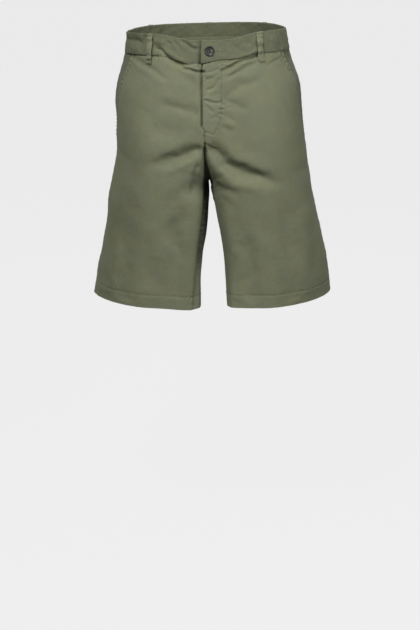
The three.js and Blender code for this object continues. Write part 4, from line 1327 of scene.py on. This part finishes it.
def make_buttonhole():
    """A buttonhole beside the button: two rows of satin thread, and a bar that closes one end."""
    surface = SURFACES["waistband"]
    start, end = 4.0 - 3.0 / QUARTER_LENGTH, 4.0 - 21.0 / QUARTER_LENGTH
    bars = []
    for turn in np.linspace(start, end, 46):
        for sign in (-1, 1):
            downs = [0.5 + sign * 0.25 / BAND_HEIGHT, 0.5 + sign * 1.7 / BAND_HEIGHT]
            bars.append(satin_bar(surface, [turn, turn], downs))
    for sign in np.linspace(-1, 1, 7):
        downs = [0.5 + sign * 1.3 / BAND_HEIGHT] * 2
        bars.append(satin_bar(surface, [end, end - 1.5 / QUARTER_LENGTH], downs))
    return bars


# ------------------------------------------------------------------ the whole garment


def finish_piece(made, node, material):
    made.data.materials.append(material)
    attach(made, "root")
    if node:
        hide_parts(node)
    return made


# ------------------------------------------------------------------ materials


class Nodes:
    """A short way to write a material's nodes."""

    def __init__(self, name):
        self.material = bpy.data.materials.new(name)
        self.material.use_nodes = True
        self.tree = self.material.node_tree
        self.shader = self.tree.nodes["Principled BSDF"]

    def add(self, kind, settings=None, **inputs):
        node = self.tree.nodes.new(kind)
        for key, value in (settings or {}).items():
            setattr(node, key, value)
        for key, value in inputs.items():
            self.put(node.inputs[key.replace("_", " ")], value)
        return node

    def put(self, socket, value):
        if isinstance(value, bpy.types.NodeSocket):
            self.tree.links.new(value, socket)
        else:
            socket.default_value = value

    def math(self, operation, a, b=0.0):
        node = self.tree.nodes.new("ShaderNodeMath")
        node.operation = operation
        self.put(node.inputs[0], a)
        self.put(node.inputs[1], b)
        return node.outputs[0]

    def plus(self, a, b):
        return self.math("ADD", a, b)

    def times(self, a, b):
        return self.math("MULTIPLY", a, b)

    def give(self, key, value):
        """Sets or links one of the shader's own sockets."""
        self.put(self.shader.inputs[key], value)

    def noise(self, where, scale, detail=2.0, roughness=0.5):
        node = self.add("ShaderNodeTexNoise", Vector=where, Scale=scale, Detail=detail, Roughness=roughness)
        return node.outputs["Fac"]

    def ramp(self, value, low, high, low_to=0.0, high_to=1.0):
        node = self.add("ShaderNodeMapRange")
        self.put(node.inputs["Value"], value)
        for key, number in (("From Min", low), ("From Max", high), ("To Min", low_to), ("To Max", high_to)):
            node.inputs[key].default_value = number
        return node.outputs["Result"]

    def blend(self, share, a, b, how="MIX"):
        node = self.tree.nodes.new("ShaderNodeMix")
        node.data_type = "RGBA"
        node.blend_type = how
        self.put(node.inputs["Factor"], share)
        self.put(node.inputs["A"], a)
        self.put(node.inputs["B"], b)
        return node.outputs["Result"]


def linear(red, green, blue):
    """A colour given in 0 to 255 sRGB, as Blender wants it."""
    parts = [c / 255 for c in (red, green, blue)]
    return tuple(c / 12.92 if c <= 0.04045 else ((c + 0.055) / 1.055) ** 2.4 for c in parts) + (1.0,)


# The twill's wale and crossing threads, in metres, and how strongly the weave and the crumpling show.
WALE, CROSSING = 0.00075, 0.00075 * 0.62
WEAVE, CRUMPLE = 0.35, 0.5


def twill_threads(n, uv):
    """Diagonal wales, bent a little by the yarn, and the threads that cross them."""
    parts = n.add("ShaderNodeSeparateXYZ", Vector=uv)
    yarn_bend = n.noise(uv, 900.0, 2.0)
    diagonal = n.plus(n.times(parts.outputs["X"], 0.9), n.times(parts.outputs["Y"], 1.1))
    phase = n.plus(n.times(diagonal, 2 * math.pi / WALE), n.times(yarn_bend, 1.6))
    wales = n.math("SINE", phase)
    across = n.math("SINE", n.times(parts.outputs["Y"], 2 * math.pi / CROSSING))
    return n.plus(n.times(wales, 0.7), n.times(across, 0.3))


def twill(name, colour, worn):
    """Garment-dyed cotton twill: diagonal wales, uneven dye, slubs, paler worn ridges and edges, and darker
    dye and painted shade where the attribute falls below zero.
    """
    n = Nodes(name)
    uv = n.add("ShaderNodeUVMap", {"uv_map": "cloth"}).outputs["UV"]
    place = n.add("ShaderNodeTexCoord").outputs["Object"]
    wear_and_shade = n.add("ShaderNodeAttribute", {"attribute_name": "wear_and_shade"}).outputs["Fac"]
    threads = twill_threads(n, uv)

    stretched = n.add("ShaderNodeMapping", Vector=uv)
    stretched.inputs["Scale"].default_value = (1.0, 0.12, 1.0)
    slubs = n.noise(stretched.outputs["Vector"], 1500.0, 3.0)
    grain = n.noise(uv, 2200.0, 2.0)
    cloudy = n.noise(place, 14.0, 4.0, 0.55)
    mottled = n.noise(place, 70.0, 4.0, 0.6)

    tone = n.plus(n.ramp(cloudy, 0.3, 0.7, -0.05, 0.05), n.ramp(mottled, 0.3, 0.7, -0.045, 0.045))
    tone = n.plus(tone, n.ramp(slubs, 0.3, 0.7, -0.05, 0.05))
    tone = n.plus(tone, n.ramp(grain, 0.3, 0.7, -0.045, 0.045))
    tone = n.plus(tone, n.times(threads, 0.05))
    # below zero the attribute darkens the colour, as dye and painted shade
    dye_and_shade = n.times(n.math("MINIMUM", wear_and_shade, 0.0), 0.34)
    lightness = n.plus(n.plus(tone, dye_and_shade), 1.0)
    warmer = n.ramp(n.noise(place, 30.0, 3.0), 0.35, 0.65)
    base = n.blend(warmer, colour, shifted(colour, 1.04, 1.0, 0.93))
    shade = n.add("ShaderNodeCombineColor")
    for key in ("Red", "Green", "Blue"):
        n.put(shade.inputs[key], lightness)
    dyed = n.blend(1.0, base, shade.outputs["Color"], "MULTIPLY")
    fading = n.times(wear_and_shade, n.ramp(n.noise(place, 260.0, 3.0), 0.3, 0.7, 0.25, 0.8))
    n.give("Base Color", n.blend(fading, dyed, worn))

    rough = n.plus(n.ramp(mottled, 0.3, 0.7, 0.84, 0.92), n.times(wear_and_shade, 0.04))
    n.give("Roughness", rough)
    n.give("Specular IOR Level", 0.22)
    n.give("Sheen Weight", 0.12)
    n.give("Sheen Roughness", 0.5)
    n.give("Sheen Tint", linear(196, 200, 176))

    heights = n.plus(n.times(threads, WEAVE), n.times(grain, 0.6))
    crumpled = n.plus(n.noise(place, 120.0, 3.0), n.times(n.noise(place, 330.0, 3.0), 0.35))
    fine = n.add("ShaderNodeBump", Strength=0.35, Distance=0.0002, Height=heights)
    bumpy = fine.outputs["Normal"]
    soft = n.add("ShaderNodeBump", Strength=CRUMPLE, Distance=0.0011, Height=crumpled, Normal=bumpy)
    n.give("Normal", soft.outputs["Normal"])
    return n.material


def shifted(colour, red, green, blue):
    return (colour[0] * red, colour[1] * green, colour[2] * blue, 1.0)


def thread_material(name, colour):
    """Matt spun thread: a fine twist, and colour that shifts a little from stitch to stitch."""
    n = Nodes(name)
    place = n.add("ShaderNodeTexCoord").outputs["Object"]
    shade = n.noise(place, 400.0, 2.0)
    dark, light = shifted(colour, 0.86, 0.86, 0.86), shifted(colour, 1.08, 1.08, 1.06)
    tint = n.blend(n.ramp(shade, 0.3, 0.7), dark, light)
    n.give("Base Color", tint)
    n.give("Roughness", n.ramp(shade, 0.3, 0.7, 0.62, 0.8))
    n.give("Specular IOR Level", 0.3)
    twist = n.add("ShaderNodeBump", Strength=0.4, Distance=0.0001, Height=n.noise(place, 5000.0, 1.0))
    n.give("Normal", twist.outputs["Normal"])
    return n.material


def resin_material(name, colour):
    """Dark resin with a horn-like swirl, scuffed all over."""
    n = Nodes(name)
    place = n.add("ShaderNodeTexCoord").outputs["Object"]
    bent = n.add("ShaderNodeTexNoise", Vector=place, Scale=260.0, Detail=5.0, Distortion=1.6)
    swirl = bent.outputs["Fac"]
    dark, light = shifted(colour, 0.62, 0.6, 0.6), shifted(colour, 1.5, 1.45, 1.4)
    tone = n.blend(n.ramp(swirl, 0.35, 0.65), dark, light)
    n.give("Base Color", tone)
    scuff = n.noise(place, 1800.0, 4.0)
    n.give("Roughness", n.ramp(scuff, 0.35, 0.7, 0.28, 0.46))
    n.give("Specular IOR Level", 0.5)
    marks = n.add("ShaderNodeBump", Strength=0.15, Distance=0.0001, Height=scuff)
    n.give("Normal", marks.outputs["Normal"])
    return n.material


# ------------------------------------------------------------------ stage, in metres

CAMERA_PLACE, CAMERA_TILT = (0.0037, -2.4, 0.166), 16.2
CAMERA_LENS, CAMERA_SENSOR = 72, 36
FLOOR_Z = -1.05
BACKDROP_RADIUS, BACKDROP_HEIGHT = 11.0, 24.0
FLOOR_COLOUR, FLOOR_GLOW = (0.05, 0.05, 0.05, 1.0), 0.81
SKY, GROUND, SKY_COLOUR = 0.28, 0.12, (0.98, 0.99, 1.0, 1.0)
SUN_STRENGTH, SUN_SPREAD, SUN_FROM = 0.44, 40.0, (-0.35, -1.0, 1.2)
# Each lamp: name, power in watts, width, place and what it is turned to.
LIGHTS = [
    ("key", 37, 0.9, (-0.55, -1.6, 1.4), (0, 0, -0.12)),
    ("fill_right", 21, 1.0, (1.4, -1.7, 0.5), (0, 0, -0.25)),
    ("back", 24, 1.3, (0.5, 1.9, 1.4), (0, 0, -0.15)),
]


def studio_material():
    n = Nodes("studio_floor")
    place = n.add("ShaderNodeTexCoord").outputs["Object"]
    speckle = n.ramp(n.noise(place, 40.0, 4.0), 0.3, 0.7, 0.0, 1.0)
    n.give("Base Color", n.blend(speckle, FLOOR_COLOUR, shifted(FLOOR_COLOUR, 1.02, 1.02, 1.02)))
    n.give("Roughness", 0.95)
    n.give("Specular IOR Level", 0.0)
    n.give("Emission Color", (1.0, 1.0, 1.0, 1.0))
    n.give("Emission Strength", FLOOR_GLOW)
    return n.material


def make_backdrop():
    size = dict(vertices=96, radius=BACKDROP_RADIUS)
    bpy.ops.mesh.primitive_circle_add(fill_type="NGON", location=(0, 0, FLOOR_Z), **size)
    floor = bpy.context.object
    floor.name = "floor"
    middle = (0, 0, FLOOR_Z + BACKDROP_HEIGHT / 2)
    bpy.ops.mesh.primitive_cylinder_add(
        depth=BACKDROP_HEIGHT, end_fill_type="NOTHING", location=middle, **size
    )
    backdrop = bpy.context.object
    backdrop.name = "backdrop"
    material = studio_material()
    for part in (floor, backdrop):
        part.data.materials.append(material)
        part.visible_diffuse = False
        part.visible_glossy = False
    backdrop.visible_shadow = False


def make_world():
    """A soft sky that is brighter above than below."""
    world = bpy.data.worlds.new("studio")
    bpy.context.scene.world = world
    world.use_nodes = True
    tree = world.node_tree
    where = tree.nodes.new("ShaderNodeTexCoord")
    parts = tree.nodes.new("ShaderNodeSeparateXYZ")
    strength = tree.nodes.new("ShaderNodeMapRange")
    tree.links.new(where.outputs["Generated"], parts.inputs["Vector"])
    tree.links.new(parts.outputs["Z"], strength.inputs["Value"])
    for key, number in (("From Min", -0.6), ("From Max", 0.8), ("To Min", GROUND), ("To Max", SKY)):
        strength.inputs[key].default_value = number
    background = tree.nodes["Background"]
    background.inputs["Color"].default_value = SKY_COLOUR
    tree.links.new(strength.outputs["Result"], background.inputs["Strength"])


def turned(direction):
    return direction.to_track_quat("-Z", "Y").to_euler()


def make_lights():
    for name, energy, size, place, target in LIGHTS:
        lamp = bpy.data.lights.new(name, "AREA")
        lamp.energy, lamp.size, lamp.shape = energy, size, "DISK"
        light = linked(name, lamp)
        light.location = place
        light.rotation_euler = turned(Vector(target) - Vector(place))
    sun = bpy.data.lights.new("broad_key", "SUN")
    sun.energy, sun.angle = SUN_STRENGTH, math.radians(SUN_SPREAD)
    linked("broad_key", sun).rotation_euler = turned(-Vector(SUN_FROM))
    bpy.context.scene.view_settings.view_transform = "Standard"


def make_camera():
    camera = bpy.data.cameras.new("camera")
    camera.lens, camera.sensor_width = CAMERA_LENS, CAMERA_SENSOR
    seen = linked("camera", camera)
    seen.location = CAMERA_PLACE
    seen.rotation_euler = (math.radians(90 - CAMERA_TILT), 0, 0)
    bpy.context.scene.camera = seen


# ------------------------------------------------------------------ everything is made here

make_camera()
make_backdrop()
make_world()
make_lights()

OLIVE = linear(111, 115, 93)
WORN = linear(130, 133, 108)
# A darker, greyer copy of the olive for the facings, as painted shade where they lie recessed behind the
# pocket mouths.
SHADED_FACING_OLIVE = linear(98, 101, 86)
# A darker copy of the olive and its worn colour for the waistband, as painted shade over the band.
SHADED_BAND_OLIVE = linear(98, 102, 82)
SHADED_BAND_WORN = linear(115, 118, 96)
THREAD = linear(120, 123, 99)

CLOTH_MATERIAL = twill("olive_twill", OLIVE, WORN)
# the waistband's twill uses the darker copy: painted shade
SHADED_BAND_MATERIAL = twill("band_twill", SHADED_BAND_OLIVE, SHADED_BAND_WORN)
LOOP_MATERIAL = twill("loop_twill", OLIVE, WORN)
# the facings' twill uses the darker, greyer copy: painted shade
SHADED_FACING_MATERIAL = twill("facing_twill", SHADED_FACING_OLIVE, WORN)
THREAD_MATERIAL = thread_material("olive_thread", THREAD)
BUTTON_THREAD_MATERIAL = thread_material("button_thread", linear(64, 64, 62))
RESIN_MATERIAL = resin_material("button_resin", linear(50, 48, 49))

cut = {}
for panel_face in ("front", "back"):
    for panel_side, word in SIDE_WORDS.items():
        node_name, cloth_name = f"{panel_face}_{word}", f"{panel_face}_{word}_cloth"
        made, area, wide, long = make_panel(cloth_name, panel_side, panel_face)
        finish_piece(made, node_name, CLOTH_MATERIAL)
        cut[node_name] = (made, area, wide, long, panel_stitches(cloth_name, panel_side, panel_face))

band, band_length = make_waistband()
band.name = "waistband_cloth"
finish_piece(band, "waistband", SHADED_BAND_MATERIAL)
sewn = thread_bars("waistband_stitches", band_stitches())
finish_piece(sewn, None, THREAD_MATERIAL)
hole = thread_bars("buttonhole_stitches", make_buttonhole(), 0.22)
finish_piece(hole, None, THREAD_MATERIAL)

cut["front_left"][4].extend(tack_on_panel("front_left_cloth", (-4, -150), (9, -156), 16, 1.6))
for node_name, (made, area, wide, long, bars) in cut.items():
    sewn = finish_piece(thread_bars(node_name + "_stitches", bars), None, THREAD_MATERIAL)
    flat = (wide * MM, long * MM)

made, outer = make_fly_facing()
finish_piece(made, "fly_facing", SHADED_FACING_MATERIAL)
flat = (FLY_FACING_WIDTH * MM, float(lengths_down(outer)[-1].max()) * MM)
for side, word in SIDE_WORDS.items():
    made, outer = make_pocket_facing(side)
    finish_piece(made, "pocket_facing_" + word, SHADED_FACING_MATERIAL)
    flat = (float(lengths_across(outer)[:, -1].max()) * MM, float(lengths_down(outer)[-1].max()) * MM)

for loop_name in LOOP_TURNS:
    made = finish_piece(make_loop(loop_name), loop_name, LOOP_MATERIAL)
    bars = loop_stitches(loop_name) + bar_tacks(loop_name)
    sewn = finish_piece(thread_bars(loop_name + "_stitches", bars), None, THREAD_MATERIAL)
    flat = (LOOP_WIDTH * MM, LOOP_CUT * MM)

disc, thread = make_button()
finish_piece(disc, "button", RESIN_MATERIAL)
finish_piece(thread, None, BUTTON_THREAD_MATERIAL)
